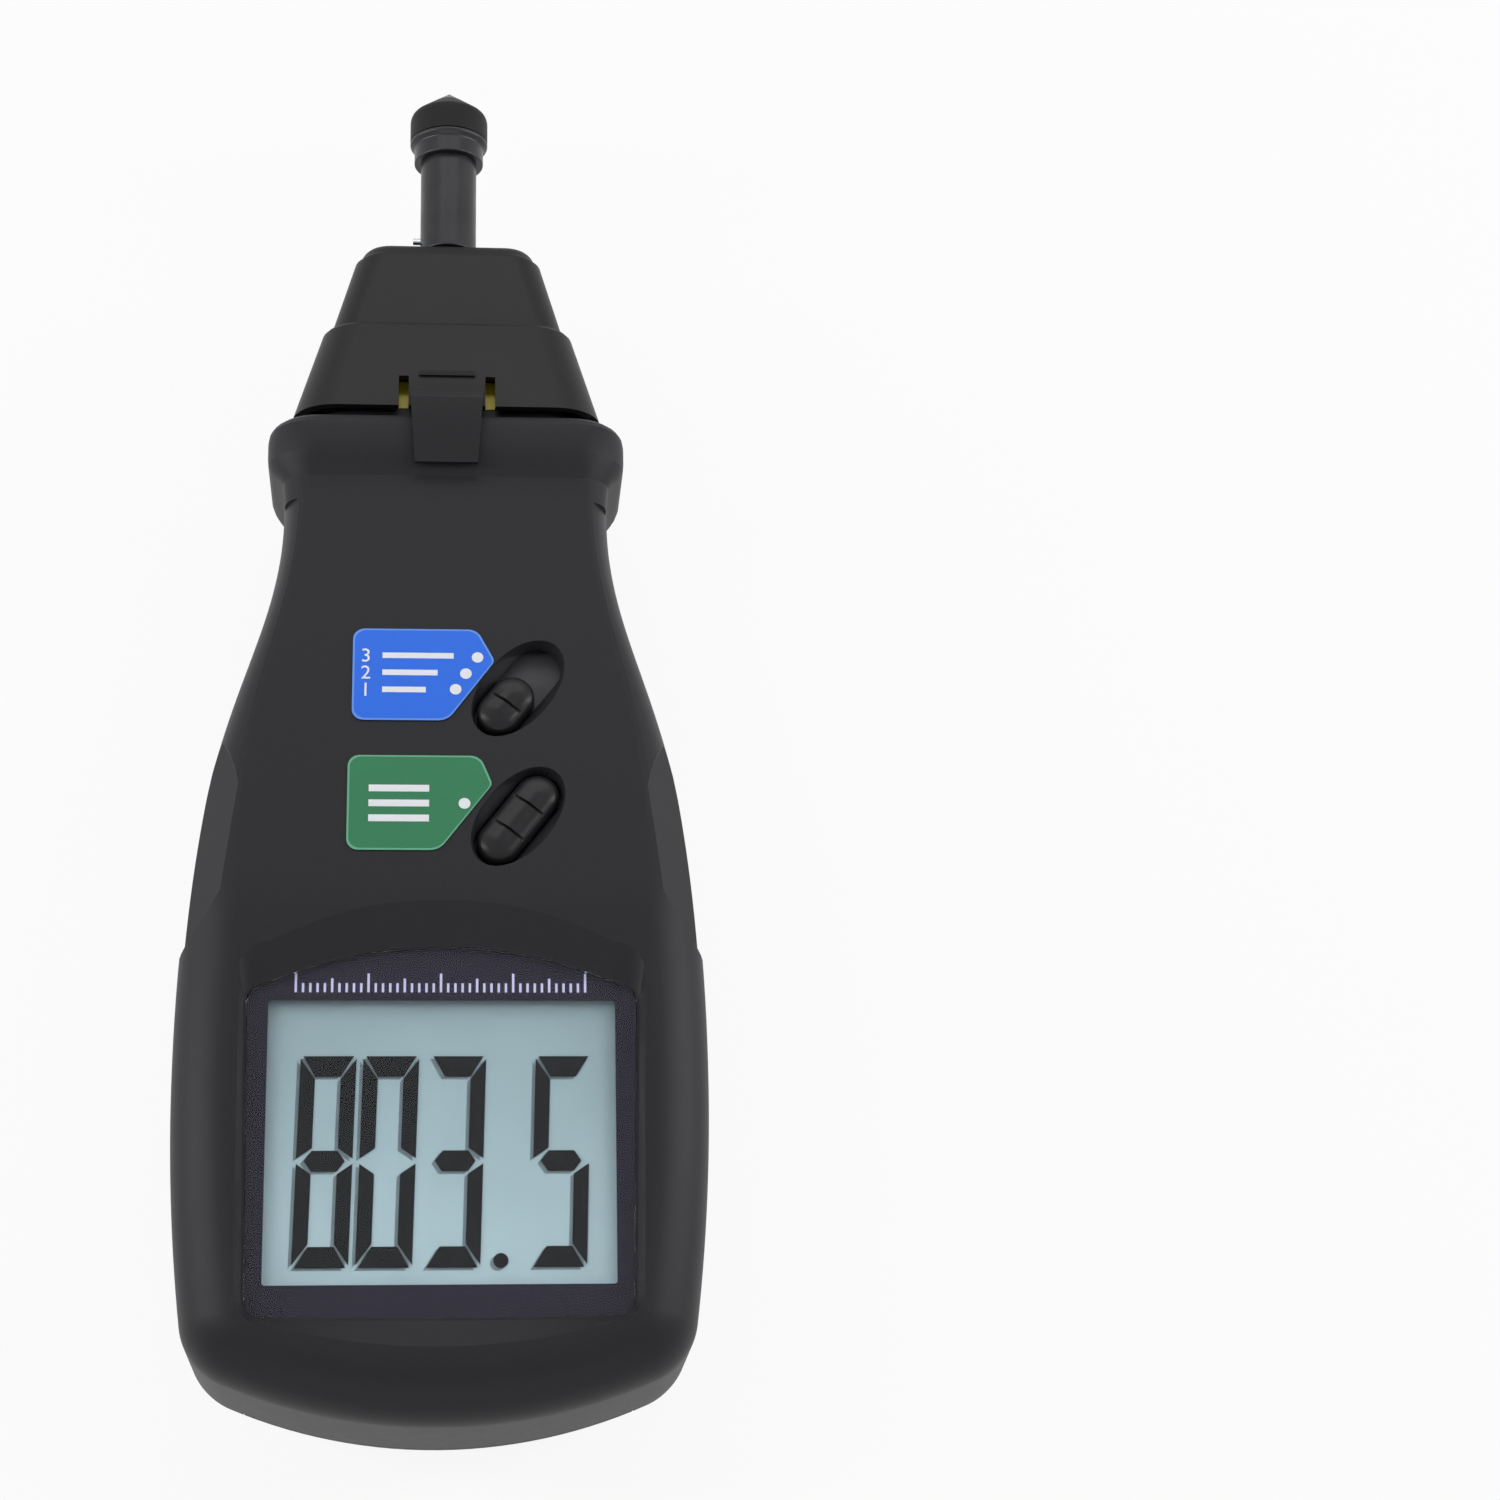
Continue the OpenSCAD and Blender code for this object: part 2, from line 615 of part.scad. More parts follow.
module rear_shell() {
    color("#2f2f31")
        place()
            difference() {
                union() {
                    half_shell(-1, rear_edge, rear_edge_h, wall, seam_z);
                    nose_band(-1);
                    translate([-bay_half - bay_wall, bay_low_s - bay_wall, wall / 2])
                        cube([2 * (bay_half + bay_wall), bay_high_s - bay_low_s + 2 * bay_wall,
                            bay_top_z - wall / 2]);
                    translate([0, 0, screw_ledge_z - 1])
                        linear_extrude(bay_roof_t + 1.4)
                            polygon(concat(
                                [for (x = [-22:4:22]) [x, end_curve(x) + wall / 2]],
                                [[22, bay_low_s], [-22, bay_low_s]]));
                    translate([-crest_half - 3, bay_high_s, wall / 2])
                        cube([2 * crest_half + 6, cover_l + crest_h + 3 - bay_high_s, wall + 0.4]);
                    for (p = case_screw_at)
                        translate([p[0], p[1], wall / 2])
                            cylinder(h = post_low(p) - wall / 2, r = post_r + 0.6);
                    on_side()
                        translate([side_switch_x - switch_t - bracket_t, -switch_size / 2 - 1,
                            back_z(measure_s) - measure_z + 1])
                            cube([bracket_t, switch_size + 2, measure_z - back_z(measure_s) + 2]);
                }
                translate([0, 0, -1])
                    linear_extrude(wall + cover_gap + 1)
                        polygon(cover_plan(0));
                translate([-cover_half, -2, -1])
                    cube([cover_w, bay_low_s - bay_wall - 0.1 + 2, screw_ledge_z + 1]);
                translate([-bay_half, bay_low_s, -1])
                    cube([2 * bay_half, bay_high_s - bay_low_s, bay_z + 1]);
                for (k = [0, 3])
                    translate([-bay_half, cell_s + k * cell_pitch - tail_w / 2 - 0.1, bay_z - 1])
                        cube([contact_t + 0.1, tail_w + 0.2, bay_roof_t + 2]);
                on_side()
                    side_box(side_switch_x, 3, measure_l + 0.4, measure_h + 0.4);
                translate([0, neck_s + 2, 0])
                    plate(2 * nose_in_w - 2, 7, axis_z - nose_in_t + 1, nose_in_t);
                for (p = case_screw_at) {
                    translate([p[0], p[1], -1])
                        cylinder(h = bay_top_z + 2, r = screw_hole_r);
                    translate([p[0], p[1], -1])
                        cylinder(h = screw_ledge_z + 1, r = screw_head_r + 0.2);
                }
                on_back(label_mid_s)
                    plate(label_w, label_l, -1, 1 + label_sunk);
            }
}

// The sloping part of the back, with its plane as the local floor
label_mid_s = 97.8;
label_w = 33.2;
label_l = 16.8;
label_sunk = 0.4;
module on_back(s) {
    translate([0, s, back_z(s)])
        rotate([back_angle, 0, 0])
            children();
}

// Ribbed finger oval on the cover
oval_s = 65;
oval_half = 11.3;
oval_high = 5.3;
oval_sunk = 0.5;
rib_pitch = 1.76;
rib_halves = [6.1, 9.2, 10.2, 9.2, 6.1];
rib_t = 0.8;
function ellipse(half_w, half_h, n) = [for (i = [0:n - 1]) let (a = 360 * i / n)
    [half_w * cos(a), half_h * sin(a)]];
module battery_cover() {
    color("#313133")
        place() {
            difference() {
                intersection() {
                    half_shell(-1, rear_edge, rear_edge_h, wall, seam_z);
                    union() {
                        translate([0, 0, -1])
                            linear_extrude(wall + 1)
                                polygon(cover_plan(-cover_gap));
                        translate([-cover_half + cover_gap, -2, -1])
                            cube([cover_w - 2 * cover_gap, bay_low_s - bay_wall, screw_ledge_z - cover_gap + 1]);
                    }
                }
                translate([0, oval_s, -1])
                    linear_extrude(1 + oval_sunk)
                        polygon(ellipse(oval_half, oval_high, 40));
                for (p = case_screw_at)
                    if (at_end(p))
                        translate([p[0], p[1], screw_ledge_z - screw_head_t - part_gap])
                            cylinder(h = screw_head_t + 2, r = screw_head_r + part_gap);
            }
            for (k = [0:4])
                translate([0, oval_s + (k - 2) * rib_pitch, 0])
                    plate(2 * rib_halves[k], rib_t, 0.1, oval_sunk);
        }
}

module display_lens() {
    color("#c9d6da", 0.5)
        place()
            translate([0, 0, lens_z])
                linear_extrude(lens_t)
                    polygon(lens_outline(0));
}

module lens_border() {
    color("#26222f")
        place()
            difference() {
                translate([0, 0, border_z])
                    linear_extrude(border_t)
                        polygon(lens_outline(-0.1));
                translate([0, view_mid_s, 0])
                    plate(view_w, view_l, border_z - 1, 2);
            }
}

module lcd_panel() {
    color("#9fb3b8")
        place()
            translate([0, view_mid_s, 0])
                plate(panel_w, panel_l, panel_z, panel_t);
}

// Seven-segment digits, leaning a little to the right
digit_s = 20.2;
digit_first = -19.4;
digit_at = [0, 8.3, 17.2, 31.2];
digit_lean = 0.7;
segment_gap = 0.35;
segment_h = 2.8;
point_at = [7.9, 21.1];
point_half = 1;
DIGITS = [[1, 1, 1, 1, 1, 1, 1], [1, 1, 1, 1, 1, 1, 0], [1, 1, 1, 1, 0, 0, 1], [1, 0, 1, 1, 0, 1, 1]];
function lean(p) = [p[0] + digit_lean * p[1] / digit_h, p[1]];
function across_bar(y, up) = [[segment_gap, y], [digit_w - segment_gap, y],
    [digit_w - segment_w, y + up * segment_h], [segment_w, y + up * segment_h]];
function middle_bar() = let (y = digit_h / 2, h = segment_h / 2, x = segment_w / 2)
    [[x, y], [x + h, y - h], [digit_w - x - h, y - h], [digit_w - x, y], [digit_w - x - h, y + h], [x + h, y + h]];
function upright_bar(x, in, low, high) = [[x, low], [x + in * segment_w, low + segment_h],
    [x + in * segment_w, high - segment_h / 2 - segment_gap], [x, high - segment_gap]];
function segments() = let (mid = digit_h / 2, gap = segment_gap) [
    across_bar(digit_h, -1),
    [for (p = upright_bar(digit_w, -1, gap, mid)) [p[0], digit_h - p[1]]],
    upright_bar(digit_w, -1, gap, mid),
    across_bar(0, 1),
    upright_bar(0, 1, gap, mid),
    [for (p = upright_bar(0, 1, gap, mid)) [p[0], digit_h - p[1]]],
    middle_bar()];
module lcd_segments() {
    color("#0e1112")
        place()
            translate([0, 0, panel_z + panel_t])
                linear_extrude(segment_t) {
                    for (d = [0:len(DIGITS) - 1])
                        for (k = [0:6])
                            if (DIGITS[d][k] == 1)
                                translate([digit_first + digit_at[d], digit_s])
                                    polygon([for (p = segments()[k]) lean(p)]);
                    translate(point_at)
                        polygon(ellipse(point_half, point_half, 8));
                }
}

module lcd_frame() {
    color("#1d1d1f")
        place()
            translate([0, view_mid_s, 0])
                difference() {
                    plate(panel_w + 2 * frame_wall, panel_l + 2 * frame_wall, board_top, ledge_z - board_top);
                    plate(panel_w + 2 * fit_gap, panel_l + 2 * fit_gap, board_top - 1, ledge_z - board_top + 2);
                }
}

module contact_strips() {
    color("#c98f98")
        place()
            for (side = [-1, 1])
                translate([0, view_mid_s + side * (panel_l / 2 - 1.2), 0])
                    plate(panel_w - 4, 2, board_top, panel_z - board_top);
}

module main_board() {
    board_low = bay_low_s + 3;
    color("#2f6b3f")
        place()
            translate([0, 0, board_z])
                difference() {
                    linear_extrude(board_t)
                        polygon([[-28, board_low], [28, board_low], [28, 64], [25, 90], [20.5, 108],
                            [19.5, neck_s - 3], [-19.5, neck_s - 3], [-20.5, 108], [-25, 90], [-28, 64]]);
                    for (p = board_screw_at)
                        translate([p[0], p[1], -1])
                            cylinder(h = board_t + 2, r = screw_hole_r);
                    translate([case_screw_at[2][0], case_screw_at[2][1], -1])
                        cylinder(h = board_t + 2, r = post_r + part_gap);
                }
}

// Knob of the slider, and the carriage behind the shell that closes its slot
knob_top = 0.5;
knob_w = slot_w - 2 * part_gap;
carriage_t = 1.2;
carriage_z = pad_z - part_gap - carriage_t;
stem_w = 2;
stem_sink = 1.6;
mode_rest = -mode_travel / 2;
groove_w = 0.4;
groove_deep = 0.5;
module mode_knob() {
    color("#222224")
        place()
            slanted(mode_s)
                translate([0, mode_rest, 0])
                    difference() {
                        bar(knob_l, knob_w, carriage_z + carriage_t, knob_top - carriage_z - carriage_t);
                        plate(2 * knob_w, groove_w, knob_top - groove_deep, 2);
                    }
}
module mode_lever() {
    color("#1b1b1c")
        place()
            slanted(mode_s)
                translate([0, mode_rest, 0]) {
                    bar(slot_l + mode_travel + 2, slot_w + 2, carriage_z, carriage_t);
                    plate(stem_w, stem_w, -depth_of(mode_s, board_top + switch_t - stem_sink),
                        depth_of(mode_s, board_top + switch_t - stem_sink) + carriage_z + eps);
                }
}
module mode_switch() {
    color("#3c3c40")
        place()
            translate(below(mode_s, board_top))
                rotate([0, 0, -control_angle])
                    difference() {
                        plate(6.4, mode_travel + 10, 0, switch_t);
                        plate(stem_w + 1.2, mode_travel + stem_w + 1.6, switch_t - stem_sink - 0.8, 4);
                    }
}

// Memory button, held behind the shell by its flange
memory_top = 0.1;
memory_plunger_r = 1.5;
module memory_button() {
    color("#222224")
        place()
            slanted(memory_s)
                difference() {
                    union() {
                        bar(slot_l - 2 * part_gap, knob_w, carriage_z, memory_top - carriage_z);
                        bar(slot_l + 2, slot_w + 2, carriage_z, carriage_t);
                    }
                    for (side = [-1, 1])
                        translate([0, side * 2.3, 0])
                            plate(2 * knob_w, groove_w, memory_top - groove_deep, 2);
                }
}
module memory_plunger() {
    tip = depth_of(memory_s, board_top + switch_t - plunger_sink);
    color("#8c8c90")
        place()
            slanted(memory_s)
                translate([0, 0, -tip])
                    cylinder(h = tip + carriage_z, r = memory_plunger_r);
}
module memory_switch() {
    color("#3c3c40")
        place()
            translate(below(memory_s, board_top))
                rotate([0, 0, -control_angle])
                    difference() {
                        plate(switch_size, switch_size, 0, switch_t);
                        translate([0, 0, switch_t - plunger_sink - memory_travel - part_gap])
                            cylinder(h = 4, r = memory_plunger_r + part_gap + 0.2);
                    }
}

// Side button, its switch and the legs that carry the switch up to the board
module measure_button() {
    color("#242426")
        place()
            on_side() {
                side_box(-button_reach, button_proud, measure_l, measure_h);
                side_box(-button_reach - button_wing, -button_reach, measure_l + 2, measure_h);
            }
}
module measure_plunger() {
    color("#8c8c90")
        place()
            on_side()
                translate([side_switch_x - plunger_sink, 0, 0])
                    rotate([0, 90, 0])
                        cylinder(h = -button_reach - button_wing - side_switch_x + plunger_sink, r = plunger_r);
}
module measure_switch() {
    bore = plunger_sink + measure_travel + part_gap;
    color("#3c3c40")
        place()
            on_side()
                difference() {
                    union() {
                        side_box(side_switch_x - switch_t, side_switch_x, switch_size, switch_size);
                        for (side = [-1, 1])
                            translate([side_switch_x - switch_t / 2, side * 2.2, switch_size / 2 - 1])
                                plate(0.4, 0.8, 0, board_z - measure_z - switch_size / 2 + 1);
                    }
                    translate([side_switch_x - bore, 0, 0])
                        rotate([0, 90, 0])
                            cylinder(h = bore + 1, r = plunger_r + part_gap);
                }
}

// Printed labels, as thin plates with rounded corners
label_t = 0.12;
LABEL_STEPS = 4;
function turn_in(a, b, c, r) = let (
        u = (a - b) / norm(a - b),
        v = (c - b) / norm(c - b),
        half = acos(u * v) / 2,
        centre = b + (u + v) / norm(u + v) * r / sin(half),
        start = b + u * r / tan(half) - centre,
        finish = b + v * r / tan(half) - centre,
        from = atan2(start[1], start[0]),
        turn = (atan2(finish[1], finish[0]) - from + 540) % 360 - 180
    )
    [for (i = [0:LABEL_STEPS]) centre + r * [cos(from + turn * i / LABEL_STEPS), sin(from + turn * i / LABEL_STEPS)]];
function rounded(points, radii) = let (n = len(points))
    [for (i = [0:n - 1]) for (q = turn_in(points[(i + n - 1) % n], points[i], points[(i + 1) % n], radii[i])) q];
mode_label_at = [[-12.7, 109.4], [4.4, 109.4], [6.9, 104.6], [0.4, 95.5], [-12.7, 95.5]];
memory_label_at = [[-13.1, 90.2], [4.9, 90.2], [6.6, 86], [-0.6, 76.25], [-13.1, 76.25]];
label_radii = [1.6, 2, 1, 2.6, 1.6];
module face_label(points, s) {
    on_face(0, s)
        linear_extrude(label_t)
            polygon([for (p = rounded(points, label_radii)) [p[0], (p[1] - s) / cos(face_angle)]]);
}
module mode_label() {
    color("#2a70e0")
        place()
            face_label(mode_label_at, 95.5);
}
module memory_label() {
    color("#348a60")
        place()
            face_label(memory_label_at, 76.25);
}
module nose_label() {
    slope = atan((nose_t - nose_tip_t) / 2 / (nose_l - nose_step));
    color("#e2cf1c")
        place()
            translate([0, flange_s + nose_step, axis_z + nose_t / 2])
                rotate([-slope, 0, 0])
                    translate([0, 5, 0])
                        plate(17, 5, 0, label_t);
}
module oval_sticker() {
    color("#e9df80")
        place()
            on_back(101.8)
                translate([0, 0, label_sunk - label_t])
                    linear_extrude(label_t)
                        polygon(ellipse(6, 4.3, 40));
}
module plain_sticker() {
    color("#ebebe8")
        place()
            on_back(93.4)
                plate(23, 7.8, label_sunk - label_t, label_t);
}

// Round cell across the meter, with its button end on alternating sides
button_d = 5.5;
button_l = 1.4;
module cell(k) {
    color(k % 2 == 0 ? "#b9772c" : "#a96a25")
        place()
            translate([0, cell_s + k * cell_pitch, cell_z])
                mirror([k % 2, 0, 0])
                    rotate([0, 90, 0])
                        translate([0, 0, -cell_l / 2]) {
                            cylinder(h = cell_l - button_l, d = cell_d);
                            cylinder(h = cell_l, d = button_d);
                        }
}
module cell_1() { cell(0); }
module cell_2() { cell(1); }
module cell_3() { cell(2); }
module cell_4() { cell(3); }

// Contacts at the cells' ends: springs on the flat ends, bumps on the button ends
contact_reach = bay_half - contact_t - cell_l / 2;
module contact_springs() {
    color("#c3c5c9")
        place()
            for (k = [0:3])
                translate([0, cell_s + k * cell_pitch, cell_z])
                    mirror([k % 2, 0, 0])
                        translate([-cell_l / 2 - contact_reach, 0, 0])
                            rotate([0, 90, 0])
                                difference() {
                                    cylinder(h = contact_reach, r1 = 4, r2 = 2.6);
                                    translate([0, 0, -1])
                                        cylinder(h = contact_reach + 2, r = 1.6);
                                }
}
module contact_plate(x, first, last) {
    translate([x - contact_t / 2, cell_s + first * cell_pitch - 4.5, cell_z - 4.5])
        cube([contact_t, (last - first) * cell_pitch + 9, 9]);
}
module contact_plates() {
    wall_x = bay_half - contact_t / 2;
    color("#aeb0b4")
        place() {
            contact_plate(wall_x, 0, 1);
            contact_plate(wall_x, 2, 3);
            contact_plate(-wall_x, 0, 0);
            contact_plate(-wall_x, 1, 2);
            contact_plate(-wall_x, 3, 3);
            for (k = [0, 3])
                translate([-wall_x, cell_s + k * cell_pitch, 0])
                    plate(contact_t, tail_w, cell_z, board_z - cell_z);
            for (k = [0:3])
                translate([0, cell_s + k * cell_pitch, cell_z])
                    mirror([k % 2, 0, 0])
                        translate([cell_l / 2, 0, 0])
                            rotate([0, 90, 0])
                                cylinder(h = contact_reach, r = 2);
        }
}

module screw(length) {
    cylinder(h = length, r = thread_r);
    translate([0, 0, -screw_head_t])
        difference() {
            cylinder(h = screw_head_t, r = screw_head_r);
            translate([-0.25, -1, -1])
                cube([0.5, 2, 1.7]);
            translate([-1, -0.25, -1])
                cube([2, 0.5, 1.7]);
        }
}
module case_screws() {
    color("#8f9296")
        place()
            for (p = case_screw_at)
                translate([p[0], p[1], screw_ledge_z])
                    screw(bay_top_z + screw_bite - screw_ledge_z - 1);
}
module board_screws() {
    color("#8f9296")
        place()
            for (p = board_screw_at)
                translate([p[0], p[1], board_z])
                    screw(board_t + 4);
}

processor_at = [-11, 92];
processor_l = 13;
processor_t = 1.6;
module processor() {
    color("#1c1c1e")
        place()
            translate([processor_at[0], processor_at[1], 0])
                plate(processor_l, processor_l, board_top, processor_t);
}

// Optical sensor in the nose
function nose_in(s) = let (u = max(0, s - flange_s) / nose_l)
    [nose_in_w + (tip_in_w - nose_in_w) * u, nose_in_t + (tip_in_t - nose_in_t) * u];
module rounded_plate(s, length, half_w, half_t, r) {
    translate([0, s + length, axis_z])
        rotate([90, 0, 0])
            linear_extrude(length)
                polygon([for (p = section(0, half_w, half_t, r)) [p[0], p[2] - axis_z]]);
}
window_l = 1.5;
sensor_board_s = flange_s + 4;
emitter_x = 4;
emitter_r = 2.5;
emitter_l = 4;
module sensor_window() {
    color("#3a1216")
        place()
            rounded_plate(nose_s - window_l, window_l, tip_in_w - fit_gap, tip_in_t - fit_gap, 1);
}
module sensor_board() {
    far = nose_in(sensor_board_s + board_t);
    color("#2f6b3f")
        place()
            rounded_plate(sensor_board_s, board_t, far[0] - part_gap, far[1] - part_gap, 1.5);
}
module diode(x) {
    rod(sensor_board_s + board_t, emitter_l, emitter_r, x);
    translate([x, sensor_board_s + board_t + emitter_l, axis_z])
        sphere(r = emitter_r);
}
module light_emitter() {
    color("#c22a22")
        place()
            diode(-emitter_x);
}
module light_detector() {
    color("#3a3f46")
        place()
            diode(emitter_x);
}
module sensor_cable() {
    ribbon_s = neck_s - 8;
    color("#c9c4b4")
        place()
            translate([-4, ribbon_s, board_top])
                cube([8, sensor_board_s - ribbon_s, 0.6]);
}

// Adapter: a hood with two spring clips, its hub and bearings
hood_bevel = 1.5;
cap_half_w = skirt_top_w / 2 - step_in;
cap_half_t = skirt_top_t / 2 - step_in;
function cap_at(s) = let (u = (s - step_s) / cap_l)
    [cap_half_w + (cap_top_w / 2 - cap_half_w) * u, cap_half_t + (cap_top_t / 2 - cap_half_t) * u];
function skirt_at(s) = let (u = (s - skirt_s) / skirt_l)
    [(skirt_w + (skirt_top_w - skirt_w) * u) / 2, (skirt_t + (skirt_top_t - skirt_t) * u) / 2];
function ring_at(s, half, in, r) = section(s, half[0] - in, half[1] - in, max(0.6, r - in));
module hood_solid() {
    skin([
        ring_at(skirt_s, skirt_at(skirt_s), 0, 6.5),
        ring_at(step_s - 0.4, skirt_at(step_s - 0.4), 0, 5.6),
        ring_at(step_s, skirt_at(step_s), 0.3, 5.6),
        ring_at(step_s, cap_at(step_s), 0, 4.8),
        ring_at(hood_s - 2.4, cap_at(hood_s - 2.4), 0, 4.6),
        ring_at(hood_s - 1, cap_at(hood_s - 1), 0.5, 4.6),
        ring_at(hood_s, cap_at(hood_s), hood_bevel, 4.6)]);
}
module hood_hollow() {
    skin([
        ring_at(skirt_s - 1, skirt_at(skirt_s - 1), hood_wall, 6.5),
        ring_at(step_s - hood_wall, skirt_at(step_s - hood_wall), hood_wall, 5.6),
        ring_at(step_s - hood_wall, cap_at(step_s), hood_wall, 4.8),
        ring_at(hood_s - hood_wall, cap_at(hood_s - hood_wall), hood_wall + 0.4, 4.6)]);
}
bearing_r = bearing_d / 2;
spindle_r = spindle_d / 2;
hub_r = bearing_r + 1.5;
hub_s = step_s + 3.1;
outer_bearing_s = hood_s - hood_wall - bearing_l;
inner_bearing_s = hub_s + 0.1;

// Clip that steps out from the skirt over the flange and grips behind it
clip_t = 1.2;
clip_root_s = skirt_s + 5.2;
crest_z = flange_t / 2;
clip_in = crest_z + part_gap;
module clip(reach, hole) {
    end_s = skirt_s - reach;
    root = skirt_at(clip_root_s)[1];
    foot = skirt_at(skirt_s)[1];
    translate([0, 0, axis_z])
        difference() {
            intersection() {
                rotate([90, 0, 90])
                    linear_extrude(clip_w + 2, center = true)
                        polygon([
                            [clip_root_s, root - hood_wall],
                            [clip_root_s, root],
                            [skirt_s + 1.4, foot + 0.2],
                            [skirt_s + 1, clip_in + clip_t - 0.4],
                            [skirt_s + 0.2, clip_in + clip_t],
                            [skirt_s - 4.3, clip_in + clip_t],
                            [end_s, clip_in + clip_t - 0.5],
                            [end_s, clip_in],
                            [skirt_s - 0.4, clip_in],
                            [skirt_s + 0.1, clip_in - 0.6],
                            [skirt_s + 0.2, foot - hood_wall]]);
                translate([0, 0, -1])
                    linear_extrude(body_t)
                        polygon([[-clip_w / 2 - 0.3, clip_root_s], [-clip_w / 2 + 0.8, end_s - 1],
                            [clip_w / 2 - 0.8, end_s - 1], [clip_w / 2 + 0.3, clip_root_s]]);
            }
            if (hole > 0)
                translate([0, skirt_s - 6, clip_in - 1])
                    cylinder(h = clip_t + 2, r = hole);
        }
}
clip_bar_l = 8;
module adapter_hood() {
    color("#2b2b2d")
        place() {
            difference() {
                union() {
                    hood_solid();
                }
                hood_hollow();
                for (side = [-1, 1])
                    translate([side * (clip_w / 2 + clip_slot / 2 + 0.3), skirt_s + 2.1, 0])
                        plate(clip_slot, 6.2, -1, body_t + 2);
                rod(hood_s - 3, 6, spindle_r + 0.6);
            }
            difference() {
                rod(hub_s, hood_s - hood_wall / 2 - hub_s, hub_r);
                rod(hub_s - 1, outer_bearing_s + bearing_l + 1 - hub_s, bearing_r + 0.02);
                rod(hood_s - 3, 6, spindle_r + 0.6);
            }
            clip(clip_l, 0);
            translate([0, 0, 2 * axis_z])
                mirror([0, 0, 1])
                    clip(clip_l + 2, 1.2);
            translate([0, clip_root_s, axis_z + skirt_at(clip_root_s)[1] - 0.2])
                plate(clip_bar_l, 0.7, 0, 0.6);
        }
}
module bearing(s) {
    difference() {
        rod(s, bearing_l, bearing_r);
        rod(s - 1, bearing_l + 2, spindle_r + fit_gap);
    }
}
module bearing_outer() {
    color("#b9bcc1")
        place()
            bearing(outer_bearing_s);
}
module bearing_inner() {
    color("#b9bcc1")
        place()
            bearing(inner_bearing_s);
}
module bearing_spacer() {
    from = inner_bearing_s + bearing_l;
    color("#9a9da2")
        place()
            difference() {
                rod(from, outer_bearing_s - from, bearing_r - 0.1);
                rod(from - 1, outer_bearing_s - from + 2, spindle_r + 0.6);
            }
}

// Turning parts: everything on the spindle axis
module turned(profile) {
    translate([0, 0, axis_z])
        rotate([-90, 0, 0])
            rotate_extrude()
                polygon(profile);
}
disc_s = step_s + 0.8;
disc_t = 1;
clip_ring_t = 0.6;
spindle_end_s = ring_s - 7;
stub_r = 2.6;
module retaining_ring() {
    color("#7d8085")
        place()
            difference() {
                rod(disc_s + disc_t, clip_ring_t, spindle_r + 1.2);
                rod(disc_s, 4, spindle_r + 0.01);
            }
}
module spindle() {
    color("#c8cacd")
        place()
            difference() {
                rod(disc_s, spindle_end_s - disc_s, spindle_r);
                pin_hole();
            }
}
module pin_hole() {
    translate([0, pin_s, axis_z])
        rotate([0, -90, 0])
            cylinder(h = tube_d, r = pin_d / 2 + 0.01);
}
module reflective_disc() {
    color("#d5d8dc")
        place()
            difference() {
                rod(disc_s, disc_t, disc_d / 2);
                rod(disc_s - 1, 4, spindle_r + 0.01);
            }
}
module extension_tube() {
    color("#232325")
        place()
            difference() {
                rod(tube_s, tube_l, tube_d / 2);
                rod(tube_s - 1, tube_l, spindle_r + 0.01);
                rod(spindle_end_s, tube_l, stub_r + 0.01);
                translate([0, tube_s, 0])
                    cylinder(h = axis_z, r = 1.3);
                pin_hole();
            }
}
module drive_pin() {
    color("#9fa2a6")
        place()
            translate([0, pin_s, axis_z])
                rotate([0, -90, 0])
                    cylinder(h = tube_d / 2 + pin_out, r = pin_d / 2);
}
module tip_holder() {
    color("#1f1f21")
        place()
            turned([
                [0, spindle_end_s],
                [stub_r, spindle_end_s],
                [stub_r, ring_s],
                [ring_d / 2, ring_s],
                [ring_d / 2, collar_s],
                [tip_d / 2, collar_s + 0.5],
                [tip_d / 2, rubber_s],
                [stub_r, rubber_s],
                [stub_r, rubber_s + 2.2],
                [0, rubber_s + 2.2]]);
}
point_s = apex_s - point_r / tan(cone_angle);
shank_r = 1.5;
module rubber_tip() {
    color("#151516")
        place()
            turned([
                [stub_r + 0.01, rubber_s],
                [tip_d / 2, rubber_s],
                [tip_d / 2, shoulder_s],
                [tip_d / 2 - 0.12, shoulder_s + shoulder_r / 2],
                [cone_base_r, cone_s],
                [point_r + 0.02, point_s],
                [point_r + 0.02, point_s - 0.6],
                [shank_r + 0.01, point_s - 0.6],
                [shank_r + 0.01, rubber_s + 2.2],
                [stub_r + 0.01, rubber_s + 2.2]]);
}
module steel_point() {
    color("#3a3a3c")
        place()
            turned([
                [0, rubber_s + 2.2],
                [shank_r, rubber_s + 2.2],
                [shank_r, point_s - 0.6],
                [point_r, point_s - 0.6],
                [point_r, point_s],
                [0, apex_s]]);
}

front_shell();
rear_shell();
battery_cover();
display_lens();
lens_border();
lcd_panel();
lcd_segments();
lcd_frame();
contact_strips();
main_board();
mode_knob();
mode_lever();
mode_switch();
memory_button();
memory_plunger();
memory_switch();
measure_button();
measure_plunger();
measure_switch();
mode_label();
memory_label();
nose_label();
oval_sticker();
plain_sticker();
cell_1();
cell_2();
cell_3();
cell_4();
contact_springs();
contact_plates();
case_screws();
board_screws();
processor();
sensor_window();
sensor_board();
light_emitter();
light_detector();
sensor_cable();
adapter_hood();
bearing_outer();
bearing_inner();
bearing_spacer();
retaining_ring();
spindle();
reflective_disc();
extension_tube();
drive_pin();
tip_holder();
rubber_tip();
steel_point();
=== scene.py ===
import math

import bmesh
import bpy
from mathutils import Matrix, Vector


